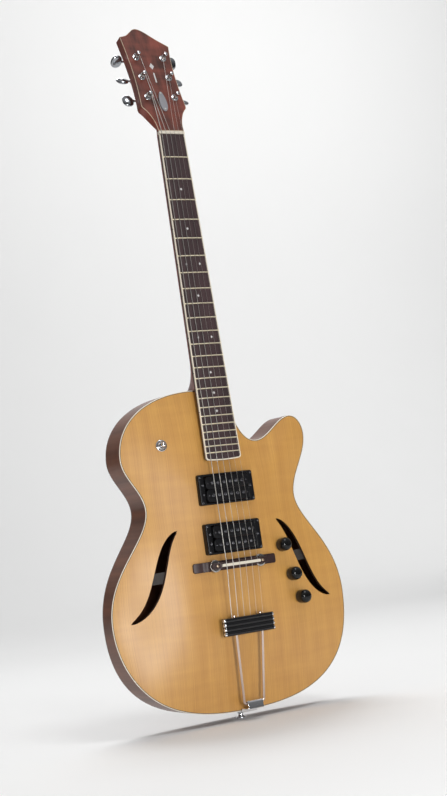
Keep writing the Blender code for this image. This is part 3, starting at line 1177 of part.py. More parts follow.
def make_controls():
    """Three knobs on their pots, the pickup switch, and the output jack."""
    shoulder = -TOP_THICKNESS - INNER_SEAT
    nut_top = NUT_SEAT + NUT_THICKNESS
    pot, bush, shaft = POT_DIAMETER / 2, POT_BUSH_DIAMETER / 2, POT_SHAFT_DIAMETER / 2
    washer = POT_WASHER_DIAMETER / 2
    bore = shaft + BORE_GAP
    bore_end = POT_SHAFT_HEIGHT - KNOB_STANDOFF + GAP
    knob = KNOB_DIAMETER / 2
    for number, (across, rise) in enumerate(KNOB_PLACES, 1):
        frame = top_mount(across, bridge_height() + rise)
        turned(f"pot_{number}", ((0, shoulder - POT_DEPTH), (pot, shoulder - POT_DEPTH), (pot, shoulder),
                                 (bush, shoulder), (bush, NUT_SEAT), (washer, NUT_SEAT),
                                 (washer, KNOB_STANDOFF - GAP), (shaft, KNOB_STANDOFF - GAP),
                                 (shaft, POT_SHAFT_HEIGHT), (0, POT_SHAFT_HEIGHT)), frame, "steel", 12)
        dome = [(knob * math.cos(k * math.pi / 8) ** 0.6,
                 KNOB_SKIRT + (KNOB_HEIGHT - KNOB_SKIRT) * math.sin(k * math.pi / 8)) for k in range(4)]
        turned(f"knob_{number}", [(0, bore_end), (bore, bore_end), (bore, 0), (knob, 0)] + dome
               + [(0, KNOB_HEIGHT)], frame @ Matrix.Translation((0, 0, KNOB_STANDOFF * MM)), "black", 20)
    frame = top_mount(*SWITCH_PLACE)
    bore, bush, nut = SWITCH_BORE_DIAMETER / 2, SWITCH_BUSH_DIAMETER / 2, SWITCH_NUT_DIAMETER / 2
    can = SWITCH_CAN_DIAMETER / 2
    turned("switch_body", ((0, shoulder - SWITCH_CAN_DEPTH), (can, shoulder - SWITCH_CAN_DEPTH), (can, shoulder),
                           (bush, shoulder), (bush, NUT_SEAT), (nut, NUT_SEAT), (nut, nut_top),
                           (bush, nut_top + NUT_SEAT), (bush, SWITCH_COLLAR_HEIGHT),
                           (bore, SWITCH_COLLAR_HEIGHT), (bore, -SWITCH_BORE_DEPTH), (0, -SWITCH_BORE_DEPTH)),
           frame, "chrome", 20)
    ball, stem, tip = bore - BORE_GAP, LEVER_DIAMETER / 2, LEVER_TIP_DIAMETER / 2
    slant = ball * math.sqrt(0.5)
    tip_start = LEVER_LENGTH - LEVER_TIP_LENGTH
    turned("switch_lever", ((0, -ball), (slant, -slant), (ball, 0), (slant, slant), (stem, ball),
                            (stem, tip_start), (tip, tip_start + tip), (tip, LEVER_LENGTH - tip),
                            (tip / 2, LEVER_LENGTH), (0, LEVER_LENGTH)),
           frame @ Matrix.Translation((0, 0, -LEVER_PIVOT_DEPTH * MM)), "chrome", 12)
    bore, bush, nut = JACK_BORE_DIAMETER / 2, JACK_DIAMETER / 2, JACK_NUT_DIAMETER / 2
    can, tip = JACK_BODY_DIAMETER / 2, JACK_TIP_DIAMETER / 2
    shoulder = -SIDE_THICKNESS - NUT_SEAT
    can_end = shoulder - JACK_BODY_DEPTH
    turned("output_jack", ((0, can_end - JACK_TIP_DEPTH), (tip, can_end - JACK_TIP_DEPTH), (tip, can_end),
                           (can, can_end), (can, shoulder), (bush, shoulder), (bush, NUT_SEAT), (nut, NUT_SEAT),
                           (nut, nut_top), (bush, nut_top + NUT_SEAT), (bore, nut_top + NUT_SEAT),
                           (bore, -JACK_BORE_DEPTH), (0, -JACK_BORE_DEPTH)), jack_frame(), "chrome", 16)


def strap_button(name, frame):
    """A waisted button with its screw, seated at the frame's zero; Z points outwards from the wood."""
    wide, narrow = BUTTON_DIAMETER / 2, BUTTON_NECK_DIAMETER / 2
    foot = (wide + narrow) / 2
    screw, depth, step = BUTTON_SCREW_DIAMETER / 2, BUTTON_SCREW_LENGTH, BUTTON_HEIGHT / 10
    turned(name, ((0, -depth + 3 * step), (screw / 2, -depth + 4 * step), (screw, -depth + 8 * step), (screw, 0),
                  (foot, 0), (foot, step), (narrow, 3 * step), (narrow, 6 * step), (wide, 8 * step),
                  (wide, 9 * step), (wide - step, BUTTON_HEIGHT), (0, BUTTON_HEIGHT)), frame, "chrome", 14)


def make_strap_buttons():
    """One at the tail through the bracket's foot, one in the back behind the heel."""
    tail = BODY_FRAME @ Matrix.Translation((0, 0, -(BRACKET_THICKNESS + 2 * GAP) * MM)) \
        @ Matrix.Rotation(math.pi, 4, 'X')
    strap_button("strap_button_tail", tail)
    spread = np.array([HEEL_BUTTON_HEIGHT - BUTTON_DIAMETER / 2, HEEL_BUTTON_HEIGHT + BUTTON_DIAMETER / 2])
    seat = float(back_inner(0 * spread, spread).max()) + BACK_THICKNESS + GAP
    heel = BODY_FRAME @ Matrix.Translation((0, seat * MM, HEEL_BUTTON_HEIGHT * MM)) @ toward((0, 0, 1), (0, 1, 0))
    strap_button("strap_button_heel", heel)


def build():
    for obj in list(bpy.data.objects):
        bpy.data.objects.remove(obj)
    make_body()
    make_fingerboard()
    make_neck()
    make_head_trim()
    number = 0
    for side in (-1, 1):
        for height in TUNER_HEIGHTS:
            number += 1
            make_tuner(number, side, height)
    make_strings()
    make_pickup("neck", bridge_height() + NECK_PICKUP_RISE, NECK_RING_LIFT)
    make_pickup("bridge", bridge_height() + BRIDGE_PICKUP_RISE, BRIDGE_RING_LIFT)
    make_bridge()
    make_tailpiece()
    make_controls()
    make_strap_buttons()


build()
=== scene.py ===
"""Hollow-body electric guitar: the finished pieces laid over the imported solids.

Lengths are millimetres until a piece is put into the scene, which is in metres. The body frame
has its zero at the tail end of the sides, the neck frame on the fingerboard's surface above the
body joint, and the head frame on the headstock's face at the nut.
"""
import math

import bmesh
import bpy
import numpy as np
from mathutils import Matrix, Vector
from mathutils.geometry import delaunay_2d_cdt


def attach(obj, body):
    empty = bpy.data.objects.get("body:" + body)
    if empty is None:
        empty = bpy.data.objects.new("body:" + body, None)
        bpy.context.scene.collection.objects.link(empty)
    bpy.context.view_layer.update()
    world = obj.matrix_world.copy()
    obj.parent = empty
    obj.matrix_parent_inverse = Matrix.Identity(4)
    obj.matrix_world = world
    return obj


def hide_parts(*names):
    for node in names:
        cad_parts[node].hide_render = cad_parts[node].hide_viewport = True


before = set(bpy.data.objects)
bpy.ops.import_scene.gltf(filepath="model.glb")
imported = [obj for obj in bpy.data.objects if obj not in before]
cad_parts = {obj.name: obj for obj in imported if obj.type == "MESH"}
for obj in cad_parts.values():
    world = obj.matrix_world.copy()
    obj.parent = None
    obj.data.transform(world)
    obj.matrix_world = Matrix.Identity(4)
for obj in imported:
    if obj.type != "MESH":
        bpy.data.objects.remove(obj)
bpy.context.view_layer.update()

# Strings and neck
SCALE_LENGTH = 648.0
BOARD_END_MARGIN = 12.0
BOARD_THICKNESS = 6.0
BOARD_RADIUS = 305.0
BOARD_RISE = 17.3
BOARD_BINDING = 1.7
NUT_WIDTH = 43.0
BOARD_END_WIDTH = 58.5
NECK_ANGLE = math.radians(3.8)
HEAD_ANGLE = math.radians(14.0)
NUT_LENGTH = 4.5
STRING_DIAMETERS = np.array([1.17, 0.91, 0.66, 0.43, 0.34, 0.28])

# Body
BODY_LENGTH = 470.0
LOWER_HALF_WIDTH = 189.5
LOWER_HEIGHT = 148.0
FRONT_EDGE = -25.0
DEPTH_AT_NECK = 44.0
BACK_SLOPE = (-2 * FRONT_EDGE - DEPTH_AT_NECK) / BODY_LENGTH
TOP_THICKNESS = 5.5
BACK_THICKNESS = 4.0
SIDE_THICKNESS = 3.0
BINDING_WIDTH = 2.2
NECK_HALF_WIDTH = 27.5
ARM_CONTOUR = 20.0
NECK_PICKUP = 322.5
BRIDGE_PICKUP = 251.0
PICKUP_WIDTH = 70.5
PICKUP_LENGTH = 37.0
TUNER_HEIGHTS = (60.5, 97.0, 133.0)
KEY_TURNS = (-5.0, -36.0, 65.0, -45.0, -26.0, 25.0)
TUNER_OFFSET = 23.0
HEAD_THICKNESS = 15.0
TAIL_LIFT = 13.2
GAP = 0.3


def turn_x(angle):
    """A frame turned about X."""
    made = np.eye(4)
    made[1:3, 1:3] = [[math.cos(angle), -math.sin(angle)], [math.sin(angle), math.cos(angle)]]
    return made


def turn_z(angle):
    """A frame turned about Z."""
    made = np.eye(4)
    made[:2, :2] = [[math.cos(angle), -math.sin(angle)], [math.sin(angle), math.cos(angle)]]
    return made


def shift(x, y, z):
    """A frame moved along."""
    made = np.eye(4)
    made[:3, 3] = (x, y, z)
    return made


def facing(axis):
    """A frame whose Z points along an axis; X stays as level as it can."""
    z = np.array(axis, float) / np.linalg.norm(axis)
    side = np.array([0.0, 0.0, 1.0]) if abs(z[2]) < 0.9 else np.array([0.0, 1.0, 0.0])
    x = np.cross(side, z)
    x /= np.linalg.norm(x)
    made = np.eye(4)
    made[:3, :3] = np.stack([x, np.cross(z, x), z], 1)
    return made


NUT_HEIGHT = SCALE_LENGTH * (1 - 2 ** (-16 / 12))
BOARD_LOW = NUT_HEIGHT - SCALE_LENGTH * (1 - 2 ** (-24 / 12)) - BOARD_END_MARGIN
SADDLE_Z = NUT_HEIGHT - SCALE_LENGTH - 1.5
HEAD_START = NUT_HEIGHT + NUT_LENGTH + GAP
BODY = shift(0, 0, TAIL_LIFT)
NECK = BODY @ shift(0, FRONT_EDGE - BOARD_RISE, BODY_LENGTH) @ turn_x(-NECK_ANGLE)
HEAD = NECK @ shift(0, 1.0, HEAD_START) @ turn_x(-HEAD_ANGLE)


def put(points, place):
    """Points carried by a frame."""
    return points @ place[:3, :3].T + place[:3, 3]


# Meshes

def solid(name, points, faces, finish, body="guitar", replaces=(), slot=None, angle=40.0, bevel=0.0, turn=True):
    """A piece from points in world millimetres; its faces are turned outwards and shaded smooth up to an angle."""
    mesh = bpy.data.meshes.new(name)
    mesh.from_pydata((np.asarray(points) * 0.001).tolist(), [], faces)
    if turn:
        shell = bmesh.new()
        shell.from_mesh(mesh)
        bmesh.ops.remove_doubles(shell, verts=shell.verts, dist=1e-6)
        bmesh.ops.recalc_face_normals(shell, faces=shell.faces)
        shell.to_mesh(mesh)
        shell.free()
    mesh.shade_smooth()
    mesh.set_sharp_from_angle(angle=math.radians(angle))
    mesh.materials.append(finish)
    piece = bpy.data.objects.new(name, mesh)
    bpy.context.scene.collection.objects.link(piece)
    if bevel:
        edges = piece.modifiers.new("edges", 'BEVEL')
        edges.width = bevel * 0.001
        edges.segments = 2
        edges.limit_method = 'ANGLE'
        edges.angle_limit = math.radians(angle)
        edges.harden_normals = True
    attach(piece, body)
    if replaces:
        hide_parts(*replaces)
    return piece


def skin(rows, columns, around=True, ring=False, caps=True, start=0):
    """Faces over a grid of points: quads between rows, closed around the columns, with flat ends or joined ends."""
    r = np.arange(rows if ring else rows - 1)
    c = np.arange(columns if around else columns - 1)
    a, b = np.meshgrid(r, c, indexing="ij")
    a2, b2 = (a + 1) % rows, (b + 1) % columns
    quads = np.stack([a * columns + b, a * columns + b2, a2 * columns + b2, a2 * columns + b], -1)
    faces = (quads.reshape(-1, 4) + start).tolist()
    if caps and around and not ring:
        faces += [list(range(start + columns - 1, start - 1, -1)),
                  list(range(start + (rows - 1) * columns, start + rows * columns))]
    return faces


def many(shapes):
    """Several grids of points, each rows by columns by 3 with its own skin options, gathered into one mesh."""
    points, faces, start = [], [], 0
    for grid, options in shapes:
        rows, columns = grid.shape[:2]
        faces += skin(rows, columns, start=start, **options)
        points.append(grid.reshape(-1, 3))
        start += rows * columns
    return np.vstack(points), faces


def revolve(profile, place, sides=48):
    """A profile of radius and height turned about Z: x = r cos t, y = r sin t, z = h; a first or last radius of
    nearly nothing closes the pole."""
    profile = np.array(profile, float)
    t = np.arange(sides) * 2 * math.pi / sides
    grid = np.stack([profile[:, 0, None] * np.cos(t), profile[:, 0, None] * np.sin(t),
                     profile[:, 1, None] + 0 * t], -1)
    return put(grid, place)


def fillet(profile, radius, steps=3):
    """A profile whose inner corners are cut by a curve: each corner gives the points of a quadratic arc that starts
    and ends one radius away from it, or less on a short side."""
    profile = np.array(profile, float)
    before, here, after = profile[:-2], profile[1:-1], profile[2:]
    back, on = before - here, after - here
    back_length = np.maximum(np.linalg.norm(back, axis=1, keepdims=True), 1e-9)
    on_length = np.maximum(np.linalg.norm(on, axis=1, keepdims=True), 1e-9)
    reach = np.minimum(np.minimum(back_length, on_length) * 0.45, radius)
    a, c = here + back / back_length * reach, here + on / on_length * reach
    t = np.linspace(0, 1, steps + 1)[None, :, None]
    arcs = (1 - t) ** 2 * a[:, None] + 2 * t * (1 - t) * here[:, None] + t ** 2 * c[:, None]
    return np.vstack([profile[:1], arcs.reshape(-1, profile.shape[1]), profile[-1:]])


def turned(name, profile, place, finish, sides=48, rounding=0.0, **options):
    """A solid of revolution as a piece of its own."""
    profile = fillet(profile, rounding) if rounding else np.array(profile, float)
    profile[:, 0] = np.maximum(profile[:, 0], 1e-4)
    points, faces = many([(revolve(profile, place, sides), {})])
    return solid(name, points, faces, finish, **options)


def along(path, radius, sides=12, start_side=(1.0, 0.0, 0.0)):
    """A round bar along a path: each ring lies square to the path's mean direction, its two axes carried from a
    fixed side, and the radius may change from point to point."""
    path = np.asarray(path, float)
    way = np.gradient(path, axis=0)
    way /= np.linalg.norm(way, axis=1)[:, None]
    side = np.array(start_side, float) - way * (way @ np.array(start_side, float))[:, None]
    side /= np.linalg.norm(side, axis=1)[:, None]
    up = np.cross(way, side)
    t = np.arange(sides) * 2 * math.pi / sides
    radius = np.broadcast_to(np.asarray(radius, float), len(path))[:, None, None]
    return path[:, None] + radius * (side[:, None] * np.cos(t)[None, :, None] + up[:, None] * np.sin(t)[None, :, None])


def bezier(p0, p1, p2, p3, count):
    """A cubic curve without its last point."""
    t = np.linspace(0.0, 1.0, count, endpoint=False)[:, None]
    p0, p1, p2, p3 = (np.array(p, float) for p in (p0, p1, p2, p3))
    return (1 - t) ** 3 * p0 + 3 * (1 - t) ** 2 * t * p1 + 3 * (1 - t) * t ** 2 * p2 + t ** 3 * p3


def through(points, per):
    """A smooth curve through points (Catmull-Rom), with its last point; its ends run straight on."""
    p = np.array(points, float)
    p = np.vstack([2 * p[0] - p[1], p, 2 * p[-1] - p[-2]])
    t = (np.arange(per) / per)[None, :, None]
    a, b, c, d = p[:-3, None], p[1:-2, None], p[2:-1, None], p[3:, None]
    curve = 0.5 * (2 * b + (c - a) * t + (2 * a - 5 * b + 4 * c - d) * t ** 2 + (3 * b - a - 3 * c + d) * t ** 3)
    return np.vstack([curve.reshape(-1, p.shape[1]), p[-2:-1]])


def inset(loop, distance):
    """The loop moved inwards by a distance, mitred at its corners; the loop runs anticlockwise."""
    before, after = loop - np.roll(loop, 1, axis=0), np.roll(loop, -1, axis=0) - loop
    before /= np.linalg.norm(before, axis=1)[:, None]
    after /= np.linalg.norm(after, axis=1)[:, None]
    normal = np.stack([-before[:, 1], before[:, 0]], 1)
    middle = normal + np.stack([-after[:, 1], after[:, 0]], 1)
    middle /= np.linalg.norm(middle, axis=1)[:, None]
    return loop + middle * (distance / np.maximum((middle * normal).sum(1), 0.5))[:, None]


def inside(points, loop):
    """True where a point lies inside the loop: it crosses an odd number of edges to one side."""
    a, b = loop, np.roll(loop, -1, axis=0)
    x, z = points[:, 0:1], points[:, 1:2]
    rise = np.where(b[:, 1] == a[:, 1], 1e-9, b[:, 1] - a[:, 1])
    crossing = a[:, 0] + (z - a[:, 1]) / rise * (b[:, 0] - a[:, 0])
    return ((((a[:, 1] > z) != (b[:, 1] > z)) & (x < crossing)).sum(1) % 2) == 1


def edge_distance(points, loop):
    """Shortest distance from each point to the loop's edges."""
    a, b = loop, np.roll(loop, -1, axis=0)
    side = b - a
    t = ((points[:, None, :] - a) * side).sum(2) / (side ** 2).sum(1)
    return np.linalg.norm(points[:, None, :] - (a + np.clip(t, 0, 1)[:, :, None] * side), axis=2).min(1)


def plate(name, loops, front, back, place, finish, pitch=None, rings=(), **options):
    """A plate between two surfaces y = front(x, z) and y = back(x, z) over an outline with holes. The loops, any
    rings inside the outline and a grid of inner points are joined into triangles; edges that carry one triangle
    get a wall."""
    loops = [np.asarray(loop, float) for loop in loops]
    lines = loops + [inset(loops[0], distance) for distance in rings]
    starts = np.cumsum([0] + [len(line) for line in lines])
    edges = [(s + k, s + (k + 1) % len(line)) for s, line in zip(starts, lines) for k in range(len(line))]
    flat = np.vstack(lines)
    if pitch:
        low, high = loops[0].min(0), loops[0].max(0)
        xs, zs = np.arange(low[0], high[0], pitch), np.arange(low[1], high[1], pitch * 0.866)
        x, z = np.meshgrid(xs, zs)
        x = x + (np.arange(len(zs)) % 2 * pitch / 2)[:, None]
        grid = np.stack([x.ravel(), z.ravel()], 1)
        keep = inside(grid, loops[0])
        for line in lines:
            keep[keep] &= edge_distance(grid[keep], line) > 0.5 * pitch
        for loop in loops[1:]:
            keep[keep] &= ~inside(grid[keep], loop)
        flat = np.vstack([flat, grid[keep]])
    flat, _, triangles, *_ = delaunay_2d_cdt(list(map(Vector, flat.tolist())), edges, [], 0, 1e-6)
    flat, triangles = np.array(list(map(tuple, flat))), np.array(triangles)
    centres = flat[triangles].mean(1)
    keep = inside(centres, loops[0])
    for loop in loops[1:]:
        keep &= ~inside(centres, loop)
    triangles = triangles[keep]
    used, triangles = np.unique(triangles, return_inverse=True)
    flat, triangles = flat[used], triangles.reshape(-1, 3)
    a, b, c = (flat[triangles[:, k]] for k in range(3))
    area = (b - a)[:, 0] * (c - a)[:, 1] - (b - a)[:, 1] * (c - a)[:, 0]
    triangles[area < 0] = triangles[area < 0][:, ::-1]
    count = len(flat)
    y_front = np.broadcast_to(front(flat[:, 0], flat[:, 1]), count)
    y_back = np.broadcast_to(back(flat[:, 0], flat[:, 1]), count)
    points = np.vstack([np.stack([flat[:, 0], y, flat[:, 1]], 1) for y in (y_front, y_back)])
    sides = np.vstack([triangles[:, [0, 1]], triangles[:, [1, 2]], triangles[:, [2, 0]]])
    key, turned_key = sides[:, 0] * count + sides[:, 1], sides[:, 1] * count + sides[:, 0]
    rim = sides[~np.isin(key, turned_key)]
    walls = np.stack([rim[:, 1], rim[:, 0], rim[:, 0] + count, rim[:, 1] + count], 1)
    faces = triangles.tolist() + (triangles[:, ::-1] + count).tolist() + walls.tolist()
    return solid(name, put(points, place), faces, finish, turn=False, **options)


def band(loop, rings, place):
    """A closed strip round a loop: ring k lies at its own inset, at a height worked out over the loop."""
    grid = []
    for distance, height in rings:
        ring = inset(loop, distance) if distance else loop
        grid.append(np.stack([ring[:, 0], np.broadcast_to(height(ring[:, 0], ring[:, 1]), len(ring)), ring[:, 1]], 1))
    return put(np.stack(grid, 1), place)


def level(value):
    return lambda x, z: np.full(np.shape(x), float(value))


def rounded_loop(x, z, width, length, corner, steps=6, straight=1):
    """A rectangle with round corners, going anticlockwise: an arc for each corner, then evenly spaced points on
    the straight side after it."""
    q, k = np.meshgrid(np.arange(4), np.arange(steps + 1) / steps, indexing="ij")
    turn = (q + k) * math.pi / 2
    sx, sz = np.array([[1], [-1], [-1], [1]]), np.array([[1], [1], [-1], [-1]])
    arcs = np.stack([x + sx * (width / 2 - corner) + corner * np.cos(turn),
                     z + sz * (length / 2 - corner) + corner * np.sin(turn)], -1)
    share = (np.arange(1, straight) / straight)[None, :, None]
    sides = arcs[:, -1:] + (np.roll(arcs[:, :1], -1, axis=0) - arcs[:, -1:]) * share
    return np.concatenate([arcs, sides], 1).reshape(-1, 2)


def disc_loop(x, z, diameter, count=32):
    t = np.arange(count) * 2 * math.pi / count
    return np.stack([x + diameter / 2 * np.cos(t), z + diameter / 2 * np.sin(t)], 1)


# Body surfaces, in the body frame

def stretch(start, end, first_pull, last_pull, count):
    """A curve between two places; each pull is its share of the way across and of the way up."""
    start, end = np.array(start, float), np.array(end, float)
    way = end - start
    return bezier(start, start + way * first_pull, end - way * last_pull, end, count)


def body_outline():
    """The body's edge seen from the front, from the tail round by the treble side."""
    lower, waist, shoulder = (LOWER_HALF_WIDTH, LOWER_HEIGHT), (125.5, 303), (NECK_HALF_WIDTH, BODY_LENGTH)
    treble_upper, bass_upper, horn = (156, 391), (156, 379), (134, 421.5)
    cutaway, cutaway_end = (71, 389), (NECK_HALF_WIDTH, 455)
    half = [stretch((7, 0), lower, (0.685, 0), (0, 0.676), 48), stretch(lower, waist, (0, 0.516), (0, 0.258), 32)]
    treble = [stretch(waist, treble_upper, (0, 0.341), (0, 0.352), 18),
              stretch(treble_upper, horn, (0, 0.574), (0.545, 0), 16),
              stretch(horn, cutaway, (0.349, 0), (0.349, 0), 24),
              stretch(cutaway, cutaway_end, (0.575, 0), (0.207, 0.455), 24)]
    bass = [stretch(waist, bass_upper, (0, 0.364), (0, 0.364), 18),
            stretch(bass_upper, shoulder, (0, 0.622), (0.56, 0), 36)]
    straight = bezier(cutaway_end, cutaway_end, shoulder, shoulder, 4)
    left = np.vstack(half + bass + [[shoulder]])[::-1] * np.array([-1.0, 1.0])
    return np.vstack(half + treble + [straight, [shoulder], left])


OUTLINE = body_outline()
PLATE_EDGE = inset(OUTLINE, BINDING_WIDTH + GAP)


def dome(x, z, loop):
    """Height of an arched plate, 0 at its edge and 1 from 110 mm inwards. The distance from the edge is a smooth
    mean: the inverse cube root of the sum of length over distance to the fourth power."""
    points = np.stack([np.ravel(x), np.ravel(z)], 1)
    after = np.roll(loop, -1, axis=0)
    middles, lengths = (loop + after) / 2, np.linalg.norm(after - loop, axis=1)
    distance = np.empty(len(points))
    for part in np.array_split(np.arange(len(points)), max(1, len(points) // 2000)):
        squares = ((points[part, None] - middles) ** 2).sum(2)
        pull = (lengths / np.maximum(squares, 1e-6) ** 2).sum(1)
        distance[part] = np.minimum((pull / (math.pi / 2)) ** (-1 / 3), edge_distance(points[part], loop))
    u = np.clip(distance / 110.0, 0, 1)
    arch = 0.6 * u * u * (3 - 2 * u) + 0.4 * (1 - (1 - u) ** 2)
    return (arch * inside(points, loop)).reshape(np.shape(x))


def front_edge(x, z):
    """The front edge, which falls back under the forearm at the bass side's lower bout."""
    across = np.clip((-x - 70.0) / (LOWER_HALF_WIDTH - 70.0), 0, 1)
    lengthwise = np.clip(np.abs(z - LOWER_HEIGHT) / 140.0, 0, 1)
    return FRONT_EDGE + ARM_CONTOUR * across ** 2 * (3 - 2 * across) * np.cos(lengthwise * math.pi / 2) ** 2


def top_front(x, z):
    return front_edge(x, z) - 14.5 * dome(x, z, PLATE_EDGE)


def top_inner(x, z):
    return top_front(x, z) + TOP_THICKNESS


def back_edge(x, z):
    return -FRONT_EDGE - BACK_SLOPE * z + 0 * x


def back_inner(x, z):
    return back_edge(x, z) + GAP + 10.0 * dome(x, z, OUTLINE)


def one(surface, x, z):
    """A surface's height at one place."""
    return float(surface(np.array([float(x)]), np.array([float(z)]))[0])


def on_top(x, z, lift=0.0):
    """A frame on the top's outer surface, with Z pointing straight out of it."""
    slope_x = (one(top_front, x + 2, z) - one(top_front, x - 2, z)) / 4
    slope_z = (one(top_front, x, z + 2) - one(top_front, x, z - 2)) / 4
    outward = np.array([slope_x, -1.0, slope_z])
    outward /= np.linalg.norm(outward)
    return BODY @ shift(*(np.array([x, one(top_front, x, z), z]) + outward * lift)) @ facing(outward)


def neck_to_body(x, y, z):
    """A point of the neck frame in the body frame."""
    return (np.linalg.inv(BODY) @ NECK @ [x, y, z, 1.0])[:3]


BRIDGE_Z = neck_to_body(0, -3.6, SADDLE_Z)[2]
STRING_REST_Y = neck_to_body(0, -3.6, SADDLE_Z)[1] + GAP


def board_half(z):
    """Half the fingerboard's width at a height in the neck frame."""
    return (NUT_WIDTH + (BOARD_END_WIDTH - NUT_WIDTH) * (NUT_HEIGHT - z) / (NUT_HEIGHT - BOARD_LOW)) / 2


def crown(x):
    """Drop of the fingerboard's round surface away from its middle."""
    return x * x / (2 * BOARD_RADIUS)


def fret_z(number):
    """Height of a fret in the neck frame."""
    return NUT_HEIGHT - SCALE_LENGTH * (1 - 2 ** (-number / 12))


# Finishes

class Nodes:
    """Puts nodes into a tree: inputs are numbers, colours or the sockets that feed them."""

    def __init__(self, tree):
        self.tree = tree

    def __call__(self, kind, inputs=(), **settings):
        node = self.tree.nodes.new("ShaderNode" + kind)
        for key, value in settings.items():
            setattr(node, key, value)
        for key, value in dict(inputs).items():
            if isinstance(value, bpy.types.NodeSocket):
                self.tree.links.new(value, node.inputs[key])
            else:
                node.inputs[key].default_value = value
        return node


def node_group(name, inputs, outputs):
    """An empty shader group with named sockets, its nodes helper, and its two ends."""
    tree = bpy.data.node_groups.new(name, 'ShaderNodeTree')
    for label, kind, value in inputs:
        socket = tree.interface.new_socket(name=label, in_out='INPUT', socket_type='NodeSocket' + kind)
        if value is not None:
            socket.default_value = value
    for label, kind in outputs:
        tree.interface.new_socket(name=label, in_out='OUTPUT', socket_type='NodeSocket' + kind)
    nodes = Nodes(tree)
    return nodes, nodes.tree.nodes.new("NodeGroupInput"), nodes.tree.nodes.new("NodeGroupOutput")


def make_grain():
    """Wood grain along Z of the given place: fine growth lines across X, broad streaks, and faint cross figure."""
    nodes, start, end = node_group("wood_grain", [("Place", "Vector", None), ("Light", "Color", (1, 1, 1, 1)),
                                                  ("Dark", "Color", (0, 0, 0, 1)), ("Lines", "Float", 300.0),
                                                  ("Line Strength", "Float", 0.3), ("Streaks", "Float", 0.5),
                                                  ("Figure", "Float", 0.2)],
                                   [("Color", "Color"), ("Height", "Float")])
    link = nodes.tree.links.new
    place = start.outputs["Place"]
    wander = nodes("TexNoise", {"Vector": nodes("VectorMath", {0: place, 1: (9.0, 9.0, 1.4)},
                                                operation='MULTIPLY').outputs[0], "Scale": 1.0, "Detail": 2.0})
    parts = nodes("SeparateXYZ", {0: place})
    bent = nodes("Math", {0: wander.outputs[0], 1: 0.012, 2: parts.outputs["X"]}, operation='MULTIPLY_ADD')
    phase = nodes("Math", {0: bent.outputs[0], 1: start.outputs["Lines"]}, operation='MULTIPLY')
    lines = nodes("TexNoise", {"W": phase.outputs[0], "Scale": 1.0, "Detail": 2.0, "Roughness": 0.6},
                  noise_dimensions='1D')
    streaks = nodes("TexNoise", {"Vector": nodes("VectorMath", {0: place, 1: (70.0, 70.0, 3.0)},
                                                 operation='MULTIPLY').outputs[0], "Scale": 1.0, "Detail": 4.0})
    figure = nodes("TexNoise", {"Vector": nodes("VectorMath", {0: place, 1: (12.0, 12.0, 90.0)},
                                                operation='MULTIPLY').outputs[0], "Scale": 1.0, "Detail": 3.0})
    total = nodes("Math", {0: nodes("Math", {0: lines.outputs[0], 1: 0.5}, operation='SUBTRACT').outputs[0],
                           1: start.outputs["Line Strength"], 2: 0.5}, operation='MULTIPLY_ADD')
    for source, strength in ((streaks, "Streaks"), (figure, "Figure")):
        offset = nodes("Math", {0: source.outputs[0], 1: 0.5}, operation='SUBTRACT')
        total = nodes("Math", {0: offset.outputs[0], 1: start.outputs[strength], 2: total.outputs[0]},
                      operation='MULTIPLY_ADD')
    mix = nodes("Mix", {"Factor": total.outputs[0]}, data_type='RGBA')
    link(start.outputs["Dark"], mix.inputs["A"])
    link(start.outputs["Light"], mix.inputs["B"])
    link([o for o in mix.outputs if o.type == 'RGBA'][0], end.inputs["Color"])
    link(total.outputs[0], end.inputs["Height"])
    return nodes.tree


def make_wear():
    """Uneven polish: soft clouds and sparse fine scratches in the roughness, with their height."""
    nodes, start, end = node_group("worn_polish", [("Place", "Vector", None), ("Roughness", "Float", 0.2),
                                                   ("Spread", "Float", 0.05), ("Scratches", "Float", 0.05)],
                                   [("Roughness", "Float"), ("Height", "Float")])
    place = start.outputs["Place"]
    clouds = nodes("TexNoise", {"Vector": place, "Scale": 18.0, "Detail": 3.0})
    fine = nodes("TexNoise", {"Vector": place, "Scale": 900.0, "Detail": 2.0})
    marks = nodes("TexVoronoi", {"Vector": nodes("VectorMath", {0: place, 1: (400.0, 400.0, 18.0)},
                                                 operation='MULTIPLY').outputs[0], "Scale": 1.0},
                  feature='DISTANCE_TO_EDGE')
    mark = nodes("MapRange", {0: marks.outputs["Distance"], 1: 0.0, 2: 0.02, 3: 1.0, 4: 0.0})
    cloud = nodes("Math", {0: nodes("Math", {0: clouds.outputs[0], 1: 0.5}, operation='SUBTRACT').outputs[0],
                           1: start.outputs["Spread"], 2: start.outputs["Roughness"]}, operation='MULTIPLY_ADD')
    rough = nodes("Math", {0: mark.outputs[0], 1: start.outputs["Scratches"], 2: cloud.outputs[0]},
                  operation='MULTIPLY_ADD', use_clamp=True)
    nodes.tree.links.new(rough.outputs[0], end.inputs["Roughness"])
    nodes.tree.links.new(fine.outputs[0], end.inputs["Height"])
    return nodes.tree


GRAIN = make_grain()
WEAR = make_wear()


